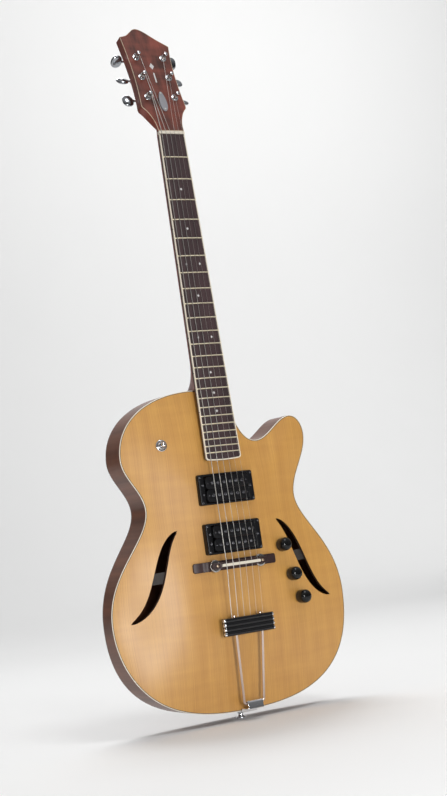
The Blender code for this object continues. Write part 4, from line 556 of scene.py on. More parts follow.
def finish(name, colour, roughness, metallic=0.0, spread=0.05, scratches=0.03, bump=0.02, coat=0.0, coat_roughness=0.05,
           grain=None, mottle=0.12, mottle_scale=40.0, ribs=0.0, walls=None, **sockets):
    """A surface finish: its colour from grain or from a soft mottle between two near shades, uneven polish, and a
    fine bump. Grain is a dictionary of the wood grain's own values, with the Mapping that lays it; ribs is the
    pitch in metres of fine ridges across Z; walls is painted shade: a dark colour on faces square to the front."""
    made = bpy.data.materials.new(name)
    made.use_nodes = True
    nodes = Nodes(made.node_tree)
    shader = made.node_tree.nodes["Principled BSDF"]
    link = made.node_tree.links.new
    place = nodes("TexCoord").outputs["Object"]
    wear = nodes("Group", {}, node_tree=WEAR)
    link(place, wear.inputs["Place"])
    for label, value in (("Roughness", roughness), ("Spread", spread), ("Scratches", scratches)):
        wear.inputs[label].default_value = value
    link(wear.outputs["Roughness"], shader.inputs["Roughness"])
    height = wear.outputs["Height"]
    if grain:
        values = dict(grain)
        laid = nodes("Mapping", {"Vector": place, "Rotation": values.pop("turn", (0, 0, 0)),
                                 "Scale": values.pop("scale", (1, 1, 1))})
        wood = nodes("Group", {}, node_tree=GRAIN)
        link(laid.outputs[0], wood.inputs["Place"])
        for label, value in values.items():
            wood.inputs[label].default_value = value
        shade = wood.outputs["Color"]
        height = wood.outputs["Height"]
    else:
        soft = nodes("TexNoise", {"Vector": place, "Scale": mottle_scale, "Detail": 3.0})
        shades = nodes("Mix", {"Factor": soft.outputs[0]}, data_type='RGBA')
        shades.inputs["A"].default_value = (*[c * (1 - mottle) for c in colour], 1)
        shades.inputs["B"].default_value = (*[min(1.0, c * (1 + mottle)) for c in colour], 1)
        shade = [o for o in shades.outputs if o.type == 'RGBA'][0]
    # Painted shade: faces turned square to the front take the dark walls colour instead of their own.
    if walls:
        facing_front = nodes("Math", {0: nodes("SeparateXYZ", {0: nodes("TexCoord").outputs["Normal"]}).outputs["Y"]},
                             operation='ABSOLUTE')
        front = nodes("MapRange", {0: facing_front.outputs[0], 1: 0.35, 2: 0.6})
        cut = nodes("Mix", {"Factor": front.outputs[0], "A": (*walls, 1)}, data_type='RGBA')
        link(shade, cut.inputs["B"])
        shade = [o for o in cut.outputs if o.type == 'RGBA'][0]
    link(shade, shader.inputs["Base Color"])
    if ribs:
        height = nodes("TexWave", {"Vector": place, "Scale": math.pi / 10 / ribs}, bands_direction='Z').outputs[1]
    rise = nodes("Bump", {"Strength": bump, "Distance": 0.0005, "Height": height})
    link(rise.outputs[0], shader.inputs["Normal"])
    shader.inputs["Metallic"].default_value = metallic
    shader.inputs["Coat Weight"].default_value = coat
    shader.inputs["Coat Roughness"].default_value = coat_roughness
    for label, value in sockets.items():
        shader.inputs[label.replace("_", " ")].default_value = value
    return made


def wood(name, light, dark, roughness=0.35, coat=1.0, coat_roughness=0.1, specular=0.5, walls=None, **values):
    grain = {"Light": (*light, 1), "Dark": (*dark, 1), "Lines": 500.0, "Line Strength": 0.5, "Streaks": 0.8,
             "Figure": 0.2}
    grain.update({key.replace("_", " ").title() if key not in ("turn", "scale") else key: value
                  for key, value in values.items()})
    return finish(name, light, roughness, coat=coat, coat_roughness=coat_roughness, grain=grain, walls=walls,
                  Specular_IOR_Level=specular)


# The spruce's walls colour is painted shade on the sides of the soundboard's holes and its edge.
spruce = wood("amber_spruce", (0.64, 0.335, 0.069), (0.445, 0.20, 0.036), roughness=0.5, coat=1.0,
              coat_roughness=0.42, walls=(0.06, 0.03, 0.02), lines=700.0, line_strength=0.9, streaks=1.1, figure=0.5)
dark_sides = wood("dark_sides", (0.22, 0.082, 0.042), (0.075, 0.026, 0.014), coat=0.12, specular=0.2, lines=300.0,
                  streaks=1.4, turn=(math.pi / 2, 0, 0))
dark_back = wood("dark_back", (0.20, 0.080, 0.042), (0.07, 0.026, 0.015), coat=0.5, specular=0.3, streaks=1.2)
dark_neck = wood("dark_neck", (0.30, 0.075, 0.052), (0.13, 0.034, 0.024), coat=0.25, specular=0.3, streaks=1.2)
face_veneer = wood("face_veneer", (0.24, 0.062, 0.042), (0.060, 0.023, 0.018), coat=0.1, specular=0.2, streaks=2.2,
                   figure=1.3)
board_wood = wood("board_rosewood", (0.070, 0.037, 0.040), (0.018, 0.010, 0.011), roughness=0.5, coat=0.0,
                  lines=900.0, line_strength=0.7, streaks=1.2)
bridge_wood = wood("bridge_rosewood", (0.055, 0.026, 0.024), (0.016, 0.008, 0.008), roughness=0.42, coat=0.0, specular=0.35,
                   turn=(0, math.pi / 2, 0), streaks=1.2)
plain_wood = wood("plain_inner_wood", (0.30, 0.21, 0.14), (0.20, 0.13, 0.085), roughness=0.7, coat=0.0)
# Painted shade: the cross brace's colour is darkened to grey for the dim inside of the body.
shaded_brace = wood("brace_painted_shade", (0.045, 0.037, 0.033), (0.025, 0.020, 0.018), roughness=0.7, coat=0.0)
cream = finish("cream_binding", (0.80, 0.73, 0.60), 0.3, coat=0.3, mottle=0.05)
edge_cream = finish("amber_edge_line", (0.66, 0.52, 0.36), 0.3, coat=0.3, mottle=0.05)
bone = finish("polished_bone", (0.72, 0.66, 0.55), 0.3, mottle=0.05, mottle_scale=200.0)
pearl = finish("pearl_markers", (0.60, 0.59, 0.58), 0.25, mottle=0.2, mottle_scale=500.0, coat=0.4)
black_line = finish("black_purfling", (0.03, 0.024, 0.02), 0.4)
gloss_black = finish("gloss_black_plastic", (0.008, 0.008, 0.009), 0.22, mottle=0.2, Specular_IOR_Level=0.25)
coil_black = finish("coil_black", (0.006, 0.006, 0.007), 0.35, mottle=0.2, Specular_IOR_Level=0.15)
coil_tape = finish("black_coil_tape", (0.015, 0.015, 0.017), 0.6, bump=0.2, Specular_IOR_Level=0.3)
knob_black = finish("knob_black", (0.006, 0.006, 0.006), 0.1, coat=0.1, Specular_IOR_Level=0.3)
rib_black = finish("tailpiece_black", (0.007, 0.007, 0.008), 0.1, coat=0.3, spread=0.02, Specular_IOR_Level=0.3)
grey_cover = finish("grey_cover_plastic", (0.24, 0.24, 0.26), 0.35)
black_steel = finish("blackened_steel", (0.12, 0.12, 0.13), 0.25, metallic=1.0)
rod_nickel = finish("rod_nickel", (0.68, 0.56, 0.49), 0.14, metallic=1.0, spread=0.04)
chrome = finish("polished_chrome", (0.78, 0.79, 0.81), 0.08, metallic=1.0, spread=0.04, scratches=0.05)
wheel_nickel = finish("thumbwheel_nickel", (0.42, 0.40, 0.38), 0.2, metallic=1.0)
tuner_metal = finish("tuner_chrome", (0.60, 0.61, 0.63), 0.1, metallic=1.0, spread=0.05, scratches=0.05)
key_metal = finish("key_chrome", (0.34, 0.35, 0.37), 0.12, metallic=1.0, spread=0.05, scratches=0.05)
fret_metal = finish("nickel_frets", (0.94, 0.83, 0.62), 0.45, metallic=1.0)
aged_steel = finish("aged_steel", (0.5, 0.49, 0.47), 0.3, metallic=1.0)
bronze = finish("stud_bronze", (0.55, 0.42, 0.30), 0.3, metallic=1.0)
plain_string = finish("plain_string", (0.66, 0.62, 0.58), 0.3, metallic=1.0)
wound_strings = [finish(f"wound_string_{number + 1}", (0.60, 0.58, 0.55), 0.35, metallic=1.0, bump=0.1,
                        ribs=0.0004 + 0.0004 * wide) for number, wide in enumerate(STRING_DIAMETERS[:3])]


# Body

def cylinder(radius, low, high, place, sides=32):
    """Points and faces of a plain bore, for cutting."""
    return many([(revolve([(radius, low), (radius, high)], place, sides), {})])


def brick(low, high, place):
    """Points and faces of a plain block between two corners, for cutting."""
    loop = np.array([(low[0], low[1]), (high[0], low[1]), (high[0], high[1]), (low[0], high[1])], float)
    grid = np.stack([np.column_stack([loop, np.full(4, z)]) for z in (low[2], high[2])])
    return many([(put(grid, place), {})])


def drill(piece, shape, name, body="guitar"):
    """Cuts a closed shape out of a piece, ahead of the piece's edge rounding."""
    mesh = bpy.data.meshes.new(name)
    mesh.from_pydata((shape[0] * 0.001).tolist(), [], shape[1])
    cutter = bpy.data.objects.new(name, mesh)
    bpy.context.scene.collection.objects.link(cutter)
    cutter.hide_render = True
    cutter.display_type = 'WIRE'
    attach(cutter, body)
    cut = piece.modifiers.new(name, 'BOOLEAN')
    cut.operation = 'DIFFERENCE'
    cut.solver = 'EXACT'
    cut.object = cutter
    piece.modifiers.move(len(piece.modifiers) - 1, 0)


def half_moons(x, y, radius, slot, low, high, dome):
    """Two half discs either side of a slot: each a ring of arc points, raised from low to high, with a domed top."""
    shapes = []
    spread = math.acos(slot / 2 / radius)
    t = np.linspace(-spread, spread, 13)
    for way in (1, -1):
        loop = np.stack([x + way * radius * np.cos(t), y + way * radius * np.sin(t)], 1)
        middle = np.array([x + way * radius * 0.45, y])
        rows = [(1.0, low), (1.0, high), (0.93, high + dome * 0.4), (0.6, high + dome * 0.85), (0.2, high + dome)]
        shapes.append(np.stack([np.column_stack([middle + (loop - middle) * share, np.full(len(loop), h)])
                                for share, h in rows]))
    return shapes


def slotted(place, radius, depth, height, slot=0.9, sides=24):
    """A slotted screw head or pole: a base disc up to the slot's floor and two half discs above it, Z outwards."""
    floor = height * 0.35
    base = revolve([(radius, -depth), (radius, floor)], place, sides)
    return [(base, {})] + [(put(moon, place), {})
                           for moon in half_moons(0, 0, radius, slot, floor - 0.05, height * 0.75, height * 0.25)]


def sound_hole(side):
    """An S-shaped hole: a curved centre line swept with a width that grows and fades like a power of a sine."""
    count = 44
    start, end = np.array([83.0, 56.85 + BRIDGE_Z]), np.array([163.0, -66.15 + BRIDGE_Z])
    curve = np.vstack([bezier(start, (122.0, 32.85 + BRIDGE_Z), (110.7, -46.15 + BRIDGE_Z), end, count), [end]])
    way = np.gradient(curve, axis=0)
    way /= np.linalg.norm(way, axis=1)[:, None]
    half = 16.5 / 2 * np.abs(np.sin(np.linspace(0, math.pi, count + 1))) ** 0.55
    normal = np.stack([-way[:, 1], way[:, 0]], 1) * half[:, None]
    loop = np.vstack([curve + normal, (curve - normal)[-2:0:-1]])
    area = np.sum(loop[:, 0] * np.roll(loop[:, 1], -1) - np.roll(loop[:, 0], -1) * loop[:, 1])
    loop = loop if area > 0 else loop[::-1]
    return loop if side > 0 else loop[::-1] * np.array([-1.0, 1.0])


KNOBS = tuple((x, BRIDGE_Z + rise) for x, rise in ((83.0, 16.85), (94.0, -27.15), (105.0, -62.15)))
SWITCH = (-92.0, 393.0)


def make_top():
    """The arched soundboard with its holes, the thin dark line round it, and the cream binding."""
    holes = [sound_hole(1), sound_hole(-1)]
    holes += [rounded_loop(0, h, PICKUP_WIDTH + 4, PICKUP_LENGTH + 4, 2, 3, 12) for h in (NECK_PICKUP, BRIDGE_PICKUP)]
    holes += [disc_loop(x, z, 9.4, 24) for x, z in KNOBS] + [disc_loop(*SWITCH, 14.4, 28)]
    plate("soundboard", [inset(OUTLINE, 1.8)] + holes, top_front, top_inner, BODY, spruce, pitch=4.0,
          replaces=("top_plate",), slot="spruce_top")
    flat = lambda drop: lambda x, z: front_edge(x, z) + drop
    line = band(OUTLINE, [(1.05, flat(1.0)), (1.05, flat(0.0)), (1.75, flat(0.0)), (1.75, flat(1.0))], BODY)
    points, faces = many([(line, {"ring": True})])
    solid("purfling_line", points, faces, black_line, slot="spruce_top")
    rings = [(0, flat(1.0)), (0, flat(0.5)), (0.08, flat(0.25)), (0.25, flat(0.08)), (0.5, flat(0.0)),
             (1.0, flat(0.0)), (1.0, flat(1.0))]
    points, faces = many([(band(OUTLINE, rings, BODY), {"ring": True})])
    solid("top_edge_binding", points, faces, cream, replaces=("top_binding",), slot="binding")


def make_sides_and_back():
    """The bent sides with the holes for the jack and the tail screw, and the arched back with a rounded edge."""
    start = lambda x, z: front_edge(x, z) + 1.05
    seat = lambda x, z: front_edge(x, z) + 5.8
    rings = [(0, start), (0, back_edge), (SIDE_THICKNESS, back_edge), (SIDE_THICKNESS, seat), (1.75, seat),
             (1.75, start)]
    points, faces = many([(band(OUTLINE, rings, BODY), {"ring": True})])
    sides = solid("bent_sides", points, faces, dark_sides, replaces=("rim",), slot="body_wood", bevel=0.15)
    drill(sides, cylinder(6.3, -6, 3, JACK), "jack_bore")
    drill(sides, cylinder(2.3, -3, 6, BODY), "tail_screw_bore")
    rounding = 2.4

    def back_outer(x, z):
        away = np.clip(edge_distance(np.stack([np.ravel(x), np.ravel(z)], 1), OUTLINE) / rounding, 0, 1)
        return back_inner(x, z) + BACK_THICKNESS - rounding * (1 - np.sqrt(1 - (1 - away) ** 2))

    plate("arched_back", [OUTLINE, disc_loop(0, 450, 4.6, 16)], back_inner, back_outer, BODY, dark_back, pitch=6.0,
          rings=(0.15, 0.5, 1.1, 2.4), replaces=("back_plate",), slot="body_wood")


JACK = BODY @ shift(LOWER_HALF_WIDTH, 0, LOWER_HEIGHT) @ facing((1, 0, 0))

# Neck, fingerboard and headstock

HEEL_LENGTH = 42.0
NECK_TOP = BOARD_THICKNESS + GAP
HEAD_OUTLINE_STEPS = 6


def neck_rings():
    """The neck's wood as closed rings of x, y, z in the neck frame: the tongue under the board's end, whose back
    follows the top; the heel, squarer and deeper towards its cap; the shaft, an ellipse behind a flat; and a run
    into the headstock that grows shallow and narrow."""
    count = 35
    low = BOARD_LOW + 9.0
    x = np.concatenate([[-22.0], np.linspace(-22.0, 22.0, count - 2), [22.0]])
    rings = []
    for share in np.linspace(0, 1, 24):
        z = low * (1 - share)
        spot = neck_to_body(0, BOARD_THICKNESS, z)
        surface = top_front(x, 0 * x + spot[2]) - 0.45
        y = surface - FRONT_EDGE + BOARD_RISE - math.tan(NECK_ANGLE) * z
        y[[0, -1]] = NECK_TOP
        rings.append(np.stack([x, y, np.full(count, z)], 1))
    rings[-1][:, 2] = rings[-1][:, 1] * math.tan(NECK_ANGLE) + GAP
    angle = np.linspace(0, math.pi, count)
    to_back = DEPTH_AT_NECK + BOARD_RISE - BOARD_THICKNESS - GAP
    stations = np.concatenate([[GAP], HEEL_LENGTH * np.linspace(0.03, 1.0, 30), np.linspace(HEEL_LENGTH + 6,
                               NUT_HEIGHT, 30), HEAD_START + np.linspace(2.0, 34.0, 14)])
    for z in stations:
        swell = max(0.0, 1 - z / HEEL_LENGTH)
        past = min(1.0, max(0.0, (z - HEAD_START) / 34.0))
        depth = 17.0 - 2.5 * min(z, NUT_HEIGHT) / NUT_HEIGHT
        depth += (to_back - depth) * swell ** 2.3
        half = board_half(min(z, NUT_HEIGHT)) - (0.6 if z > NUT_HEIGHT else 0.0)
        half *= 1 - 0.45 * past ** 2
        squeeze = (1 - 18.0 / half) * swell ** 1.5 if swell else 0.0
        power = 1 - 0.55 * swell
        down = np.maximum(np.sin(angle), 0.0) ** power
        down[[0, -1]] = 0.0
        across = -np.sign(np.cos(angle)) * np.abs(np.cos(angle)) ** (0.9 * power)
        front = max(NECK_TOP, 1.0 + 2.6 + (z - HEAD_START) * math.tan(HEAD_ANGLE)) if z > HEAD_START else NECK_TOP
        y = front + (NECK_TOP + depth - front + 2.0 * past) * down
        rings.append(np.stack([half * across * (1 - squeeze * down), y,
                               z + y * math.tan(NECK_ANGLE) * swell], 1))
    return np.stack(rings)


def head_outline(foot):
    """The headstock's edge: smooth stretches between its shoulders and top corners. Each place is its share of
    half the width and of the length; only the foot is in millimetres."""
    shares = lambda places: np.array(places) * (40.0, 187.5)
    taper = shares([(0.556, 0.059), (0.625, 0.117), (0.762, 0.179), (0.935, 0.224)])
    side = shares([(0.947, 0.245), (0.912, 0.331), (0.885, 0.469), (0.89, 0.597)])
    treble = shares([(0.925, 0.72), (1.0, 0.837)])
    crest = shares([(1.0, 0.837), (0.8, 0.864), (0.55, 0.899), (0.3, 0.939), (0.1, 0.971), (-0.075, 0.992),
                    (-0.225, 1.0), (-0.375, 0.992), (-0.525, 0.965), (-0.7, 0.933), (-0.85, 0.92), (-1.0, 0.912)])
    bass = shares([(-0.93, 0.747)])
    mirror = lambda places: places[::-1] * np.array([-1.0, 1.0])
    low = np.array([[NUT_WIDTH / 2, foot]])
    per = HEAD_OUTLINE_STEPS
    return np.vstack([through(np.vstack([low, taper]), per), through(np.vstack([side, treble]), per)[:-1],
                      through(crest, per), through(np.vstack([bass, mirror(side)]), per),
                      through(np.vstack([mirror(taper), low * (-1, 1)]), per)])


def tuner_place(side, height):
    """At a tuner's hole, with Z through the headstock to its back and Y down the headstock."""
    return HEAD @ shift(side * TUNER_OFFSET, 0, height) @ turn_x(-math.pi / 2)


def make_neck():
    rings = neck_rings()
    points, faces = many([(put(rings, NECK), {})])
    neck = solid("neck_shaft", points, faces, dark_neck, replaces=("neck",), slot="neck_wood")
    drill(neck, brick((-3.1, NECK_TOP - 2, 12), (3.1, 17.5, HEAD_START + 42), NECK), "rod_channel")
    holes = [disc_loop(side * TUNER_OFFSET, h, 9.4, 28) for side in (-1, 1) for h in TUNER_HEIGHTS]
    pocket = rounded_loop(0, 50, 7.4, 20, 2)
    taper = lambda x, z: 3.2 + (HEAD_THICKNESS - 3.2) * np.sin(np.clip((z - 2.0) / 34.0, 0, 1) * math.pi / 2) ** 0.8
    core = plate("headstock_core", [head_outline(2.0)] + holes, level(2.3), taper, HEAD, dark_neck, pitch=5.0,
                 replaces=("neck",), slot="neck_wood", bevel=0.5)
    drill(core, brick((-3.7, -2, 40), (3.7, 8, 60), HEAD), "rod_pocket")
    drill(core, brick((-3.1, NECK_TOP - 2, 12), (3.1, 17.5, HEAD_START + 42), NECK), "rod_channel_end")
    edge = head_outline(0.8)
    plate("headstock_veneer", [inset(edge, 0.6)] + holes + [pocket], level(0.0), level(2.0), HEAD, face_veneer,
          replaces=("headstock_face",), slot="head_veneer", bevel=0.12)
    line = band(edge, [(0.1, level(0.0)), (0.55, level(-0.02)), (0.55, level(0.7)), (0.0, level(0.7)),
                       (0.0, level(0.1))], HEAD)
    points, faces = many([(line, {"ring": True})])
    solid("headstock_edge_line", points, faces, edge_cream, slot="binding")
    lower = band(edge, [(0.0, level(0.72)), (0.55, level(0.72)), (0.55, level(2.0)), (0.0, level(2.0))], HEAD)
    points, faces = many([(lower, {"ring": True})])
    solid("veneer_edge", points, faces, dark_neck, replaces=("headstock_face",), slot="head_veneer")
    inlay = [(-2.0, 118.0), (0.0, 112.0), (2.0, 118.0), (0.0, 124.0)]
    plate("pearl_lozenge", [np.array([(1.9 * x, z) for x, z in inlay])], level(-0.04), level(0.4), HEAD, pearl,
          slot="head_veneer")
    plate("pearl_bar", [rounded_loop(0, 97.0, 2.4, 18.0, 1.1)], level(-0.04), level(0.4), HEAD, pearl,
          slot="head_veneer")


def board_edge(margin):
    """The fingerboard's edge from the nut down one side, round its slightly convex end and up the other side; the
    margin pulls it in."""
    z = np.linspace(NUT_HEIGHT - GAP, BOARD_LOW + 7.0, 40)
    right = np.stack([board_half(z) - margin, z], 1)
    half = board_half(BOARD_LOW) - margin
    corner = 5.0 - margin
    turn = np.linspace(0, math.pi / 2, 10)
    arc = np.stack([half - corner + corner * np.cos(turn), BOARD_LOW + 1.2 + margin + corner * (1 - np.sin(turn))], 1)
    across = np.linspace(half - corner, 0, 12)[1:]
    end = np.stack([across, BOARD_LOW + margin + 1.2 * (across / (half - corner)) ** 2], 1)
    path = np.vstack([right, arc, end])
    return np.vstack([path, path[-2::-1] * np.array([-1.0, 1.0])])


def make_fingerboard():
    """The rosewood field under its frets and pearl dots, inside a cream binding with dark dots on the bass side."""
    outer, inner = board_edge(0.0), board_edge(BOARD_BINDING)
    front = lambda x, z: crown(x)
    plate("board_field", [inner[::-1]], front, level(BOARD_THICKNESS), NECK, board_wood, pitch=3.0,
          replaces=("fingerboard",), slot="rosewood_board")
    strip = np.vstack([outer, inner[::-1]])[::-1]
    under = lambda x, z: crown(x) + 2.4
    plate("board_binding", [strip], front, under, NECK, cream, replaces=("fingerboard",), slot="rosewood_board",
          bevel=0.25)
    plate("board_side", [strip], under, level(BOARD_THICKNESS), NECK, board_wood, replaces=("fingerboard",),
          slot="rosewood_board")
    shapes = []
    t = np.linspace(0, math.pi, 9)
    for number in range(1, 25):
        z = fret_z(number)
        half = board_half(z) - 0.5
        x = half * np.concatenate([[-1, -0.985, -0.965], np.linspace(-0.94, 0.94, 15), [0.965, 0.985, 1]])
        rise = 1.1 * np.concatenate([[0.25, 0.75, 0.95], np.ones(15), [0.95, 0.75, 0.25]])
        foot = crown(x) + 0.06
        arch = np.stack([x[:, None] + 0 * t, foot[:, None] - (rise[:, None] + 0.06) * np.sin(t),
                         z + 0.9 * np.cos(t) + 0 * x[:, None]], -1)
        shapes.append((put(arch, NECK), {}))
    points, faces = many(shapes)
    solid("fret_wires", points, faces, fret_metal, slot="rosewood_board", angle=50)
    spots = [(0.0, n) for n in (3, 5, 9, 15, 17, 19)] + [(x, n) for n in (7, 12) for x in (-11.0, 11.0)]
    shapes = []
    for x, number in spots:
        z = (fret_z(number) + fret_z(number - 1)) / 2
        place = NECK @ shift(x, crown(x), z) @ turn_x(math.pi / 2)
        shapes.append((revolve([(0.01, 0.04), (1.4, 0.03), (1.75, 0.02), (1.75, -0.8), (0.01, -0.8)], place, 24), {}))
    points, faces = many(shapes)
    solid("pearl_dots", points, faces, pearl, slot="rosewood_board")
    shapes = []
    for number in (3, 5, 7, 9, 12, 15, 17, 19):
        z = (fret_z(number) + fret_z(number - 1)) / 2
        place = NECK @ shift(-board_half(z), 2.4, z) @ facing((-1, 0, 0))
        shapes.append((revolve([(0.01, 0.05), (0.9, 0.04), (0.9, -0.6), (0.01, -0.6)], place, 14), {}))
    points, faces = many(shapes)
    solid("side_dots", points, faces, black_line, slot="rosewood_board")


def make_nut():
    """A slotted nut: each slot lets its string in to half its thickness, and the top falls off to the head."""
    x_of = (np.arange(6) - 2.5) / 5 * 36.0

    def front(x, z):
        back = np.clip((z - NUT_HEIGHT - 1.2) / (NUT_LENGTH - 1.2), 0, 1)
        y = crown(x) - 1.3 - 0.35 + 0.9 * back ** 1.5
        for middle, wide in zip(x_of, STRING_DIAMETERS):
            y = np.where(np.abs(x - middle) < wide / 2 + 0.12, crown(x) - 1.22 + 0.5 * back, y)
        return y

    loop = rounded_loop(0, NUT_HEIGHT + NUT_LENGTH / 2, NUT_WIDTH, NUT_LENGTH, 0.6, 3, 90)
    plate("slotted_nut", [loop], front, level(BOARD_THICKNESS), NECK, bone, pitch=0.42, replaces=("nut",),
          slot="bone", angle=35)


def make_cover():
    """The teardrop cover over the truss rod's nut, held by two screws."""
    t = np.arange(48) * 2 * math.pi / 48
    loop = np.stack([6 * (1 - 0.22 * np.sin(t)) * np.cos(t), 52.5 + 17.5 * np.sin(t)], 1)
    plate("rod_cover", [loop], level(-2.3), level(-GAP), HEAD, grey_cover, replaces=("truss_rod_cover",),
          slot="grey_plastic", bevel=0.5)
    shapes = []
    for z in (38.5, 66.6):
        shapes += slotted(HEAD @ shift(0, -2.3, z) @ turn_x(math.pi / 2) @ shift(0, 0, 0), 1.5, 0.5, 0.7, 0.4, 18)
    points, faces = many(shapes)
    solid("cover_screws", points, faces, aged_steel, slot="grey_plastic")


# Tuners and strings

def torus_of(profile, place, sides=40):
    """A closed profile of radius and height turned about Z, for a part with a bore."""
    return revolve(profile, place, sides), {"ring": True}


def block_loft(place, x, y, width, length, corner, levels):
    """A round-cornered block: at each level a loop pulled in by its own amount."""
    grid = [np.column_stack([rounded_loop(x, y, width - 2 * pull, length - 2 * pull, max(corner - pull, 0.2), 5),
                             np.full(24, height)]) for height, pull in levels]
    return put(np.stack(grid), place), {}


def make_tuner(number, side, height):
    """A die-cast housing with its threaded barrel and washer, the waisted post, and the key on its worm shaft."""
    place = tuner_place(side, height)
    levels = [(15.3, 0.8), (15.45, 0.3), (15.9, 0.0), (22.6, 0.0), (23.5, 0.35), (24.1, 1.0), (24.3, 1.9)]
    points, faces = many([block_loft(place, 0, -1.95, 15.0, 14.7, 2.6, levels)])
    housing = solid(f"tuner_case_{number}", points, faces, tuner_metal, replaces=(f"tuner_housing_{number}",),
                    slot="tuner_chrome", angle=30)
    shaft = place @ shift(0, -5.6, 19.1) @ facing((side, 0, 0))
    drill(housing, cylinder(3.8, 16.9, 21.3, place), f"gear_room_{number}")
    drill(housing, cylinder(3.3, 12.0, 17.4, place), f"post_bore_{number}")
    drill(housing, cylinder(2.1, -5.9, 9.5, shaft), f"worm_bore_{number}")
    barrel = [(3.3, -2.5), (3.9, -2.5), (4.3, -2.3), (4.5, -1.9), (4.5, -1.5), (5.2, -1.45), (5.6, -1.2),
              (5.75, -0.8), (5.75, -0.15), (4.5, -0.1), (4.5, 15.25), (3.3, 15.25)]
    points, faces = many([torus_of(barrel, place)])
    solid(f"tuner_bushing_{number}", points, faces, tuner_metal, replaces=(f"tuner_housing_{number}",),
          slot="tuner_chrome")
    post = [(0.0, -14.0), (1.2, -14.0), (2.2, -13.9), (2.7, -13.6), (2.95, -13.1), (3.0, -12.4), (3.0, -9.3),
            (2.85, -8.7), (2.6, -8.2), (2.5, -7.6), (2.5, -6.4), (2.6, -5.9), (2.85, -5.3), (3.0, -4.9),
            (3.0, 17.2), (3.5, 17.2), (3.5, 21.0), (0.0, 21.0)]
    turned(f"string_post_{number}", post, place, tuner_metal, sides=36, body=f"tuner_post_{number}",
           replaces=(f"tuner_post_{number}",), slot="tuner_chrome")
    stem = [(0, -5.6), (1.8, -5.6), (1.8, 7.8), (3.0, 7.8), (3.2, 8.0), (3.2, 9.4), (2.9, 9.8), (1.9, 10.2),
            (1.7, 10.8), (1.7, 12.9), (2.1, 14.2), (2.9, 15.6), (2.9, 17.3), (0, 17.3)]
    turned(f"key_shaft_{number}", stem, shaft, tuner_metal, sides=28, body=f"tuner_key_{number}",
           replaces=(f"tuner_key_{number}",), slot="tuner_chrome")
    tilt, turn = np.meshgrid(np.linspace(0.03, math.pi - 0.03, 24), np.arange(40) * math.pi / 20, indexing="ij")
    blunt = lambda angle, power: np.sign(np.sin(angle)) * np.abs(np.sin(angle)) ** power
    cup = 1 - 0.16 * np.cos(turn) ** 2 * np.sin(tilt)
    across = np.sin(tilt) ** 0.85 * np.cos(turn) * 10.25
    thick = np.sin(tilt) ** 0.85 * blunt(turn, 0.75) * 3.9 * cup
    grid = np.stack([across, thick, 14.8 + 9.0 * (1 - np.sign(np.cos(tilt)) * np.abs(np.cos(tilt)) ** 0.9)], -1)
    rest = shaft @ turn_z(math.radians(side * KEY_TURNS[number - 1]))
    points, faces = many([(put(grid, rest), {})])
    solid(f"key_grip_{number}", points, faces, key_metal, body=f"tuner_key_{number}",
          replaces=(f"tuner_key_{number}",), slot="tuner_chrome")


def string_places(number):
    """Where a string passes, in the body frame: tailpiece, saddle, nut and its post."""
    share, radius = (number - 2.5) / 5.0, STRING_DIAMETERS[number] / 2
    tail = np.array([share * 52.0, FRONT_EDGE - 37.0 + 5.0, 131.5])
    saddle = neck_to_body(share * 52.0, crown(share * 52.0) - 3.6 - radius, SADDLE_Z)
    nut = neck_to_body(share * 36.0, crown(share * 36.0) - 1.3 - radius, NUT_HEIGHT + NUT_LENGTH / 2)
    side, order = (-1, number) if number < 3 else (1, 5 - number)
    post = np.linalg.inv(BODY) @ HEAD @ [side * (TUNER_OFFSET - 2.8 - radius), -7.5, TUNER_HEIGHTS[order], 1.0]
    return tail, saddle, nut, post[:3], side, order


def make_string(number):
    """A string from the tailpiece over saddle and nut to its post, with its winding round the post."""
    tail, saddle, nut, post, side, order = string_places(number)
    radius = STRING_DIAMETERS[number] / 2
    toward = lambda a, b, reach: a + (b - a) / np.linalg.norm(b - a) * reach
    path = [tail, toward(saddle, tail, 1.6), saddle, toward(saddle, nut, 1.6), toward(nut, saddle, 1.6), nut,
            toward(nut, post, 1.6), post]
    wound = number < 3
    metal = wound_strings[number] if wound else plain_string
    rings = along(fillet(np.array(path), 0.8, 2), radius, 10)
    points, faces = many([(put(rings, BODY), {})])
    solid(f"string_wire_{number + 1}", points, faces, metal, replaces=(f"string_{number + 1}",), slot="strings")
    turns = 2.6 if wound else 3.6
    t = np.linspace(0, turns * 2 * math.pi, int(turns * 24))
    reach = 2.8 + radius
    start = math.pi if side > 0 else 0.0
    angle = start + side * t
    fall = (2 * radius + 0.06) * t / (2 * math.pi)
    helix = np.stack([reach * np.cos(angle), reach * np.sin(angle), -7.5 + fall], 1)
    number_on_head = order + 1 if side < 0 else order + 4
    rings = along(helix, radius, 8, (0, 0, 1))
    points, faces = many([(put(rings, tuner_place(side, TUNER_HEIGHTS[order])), {})])
    solid(f"string_winding_{number + 1}", points, faces, metal, body=f"tuner_post_{number_on_head}", slot="strings")


# Pickups, bridge and tailpiece

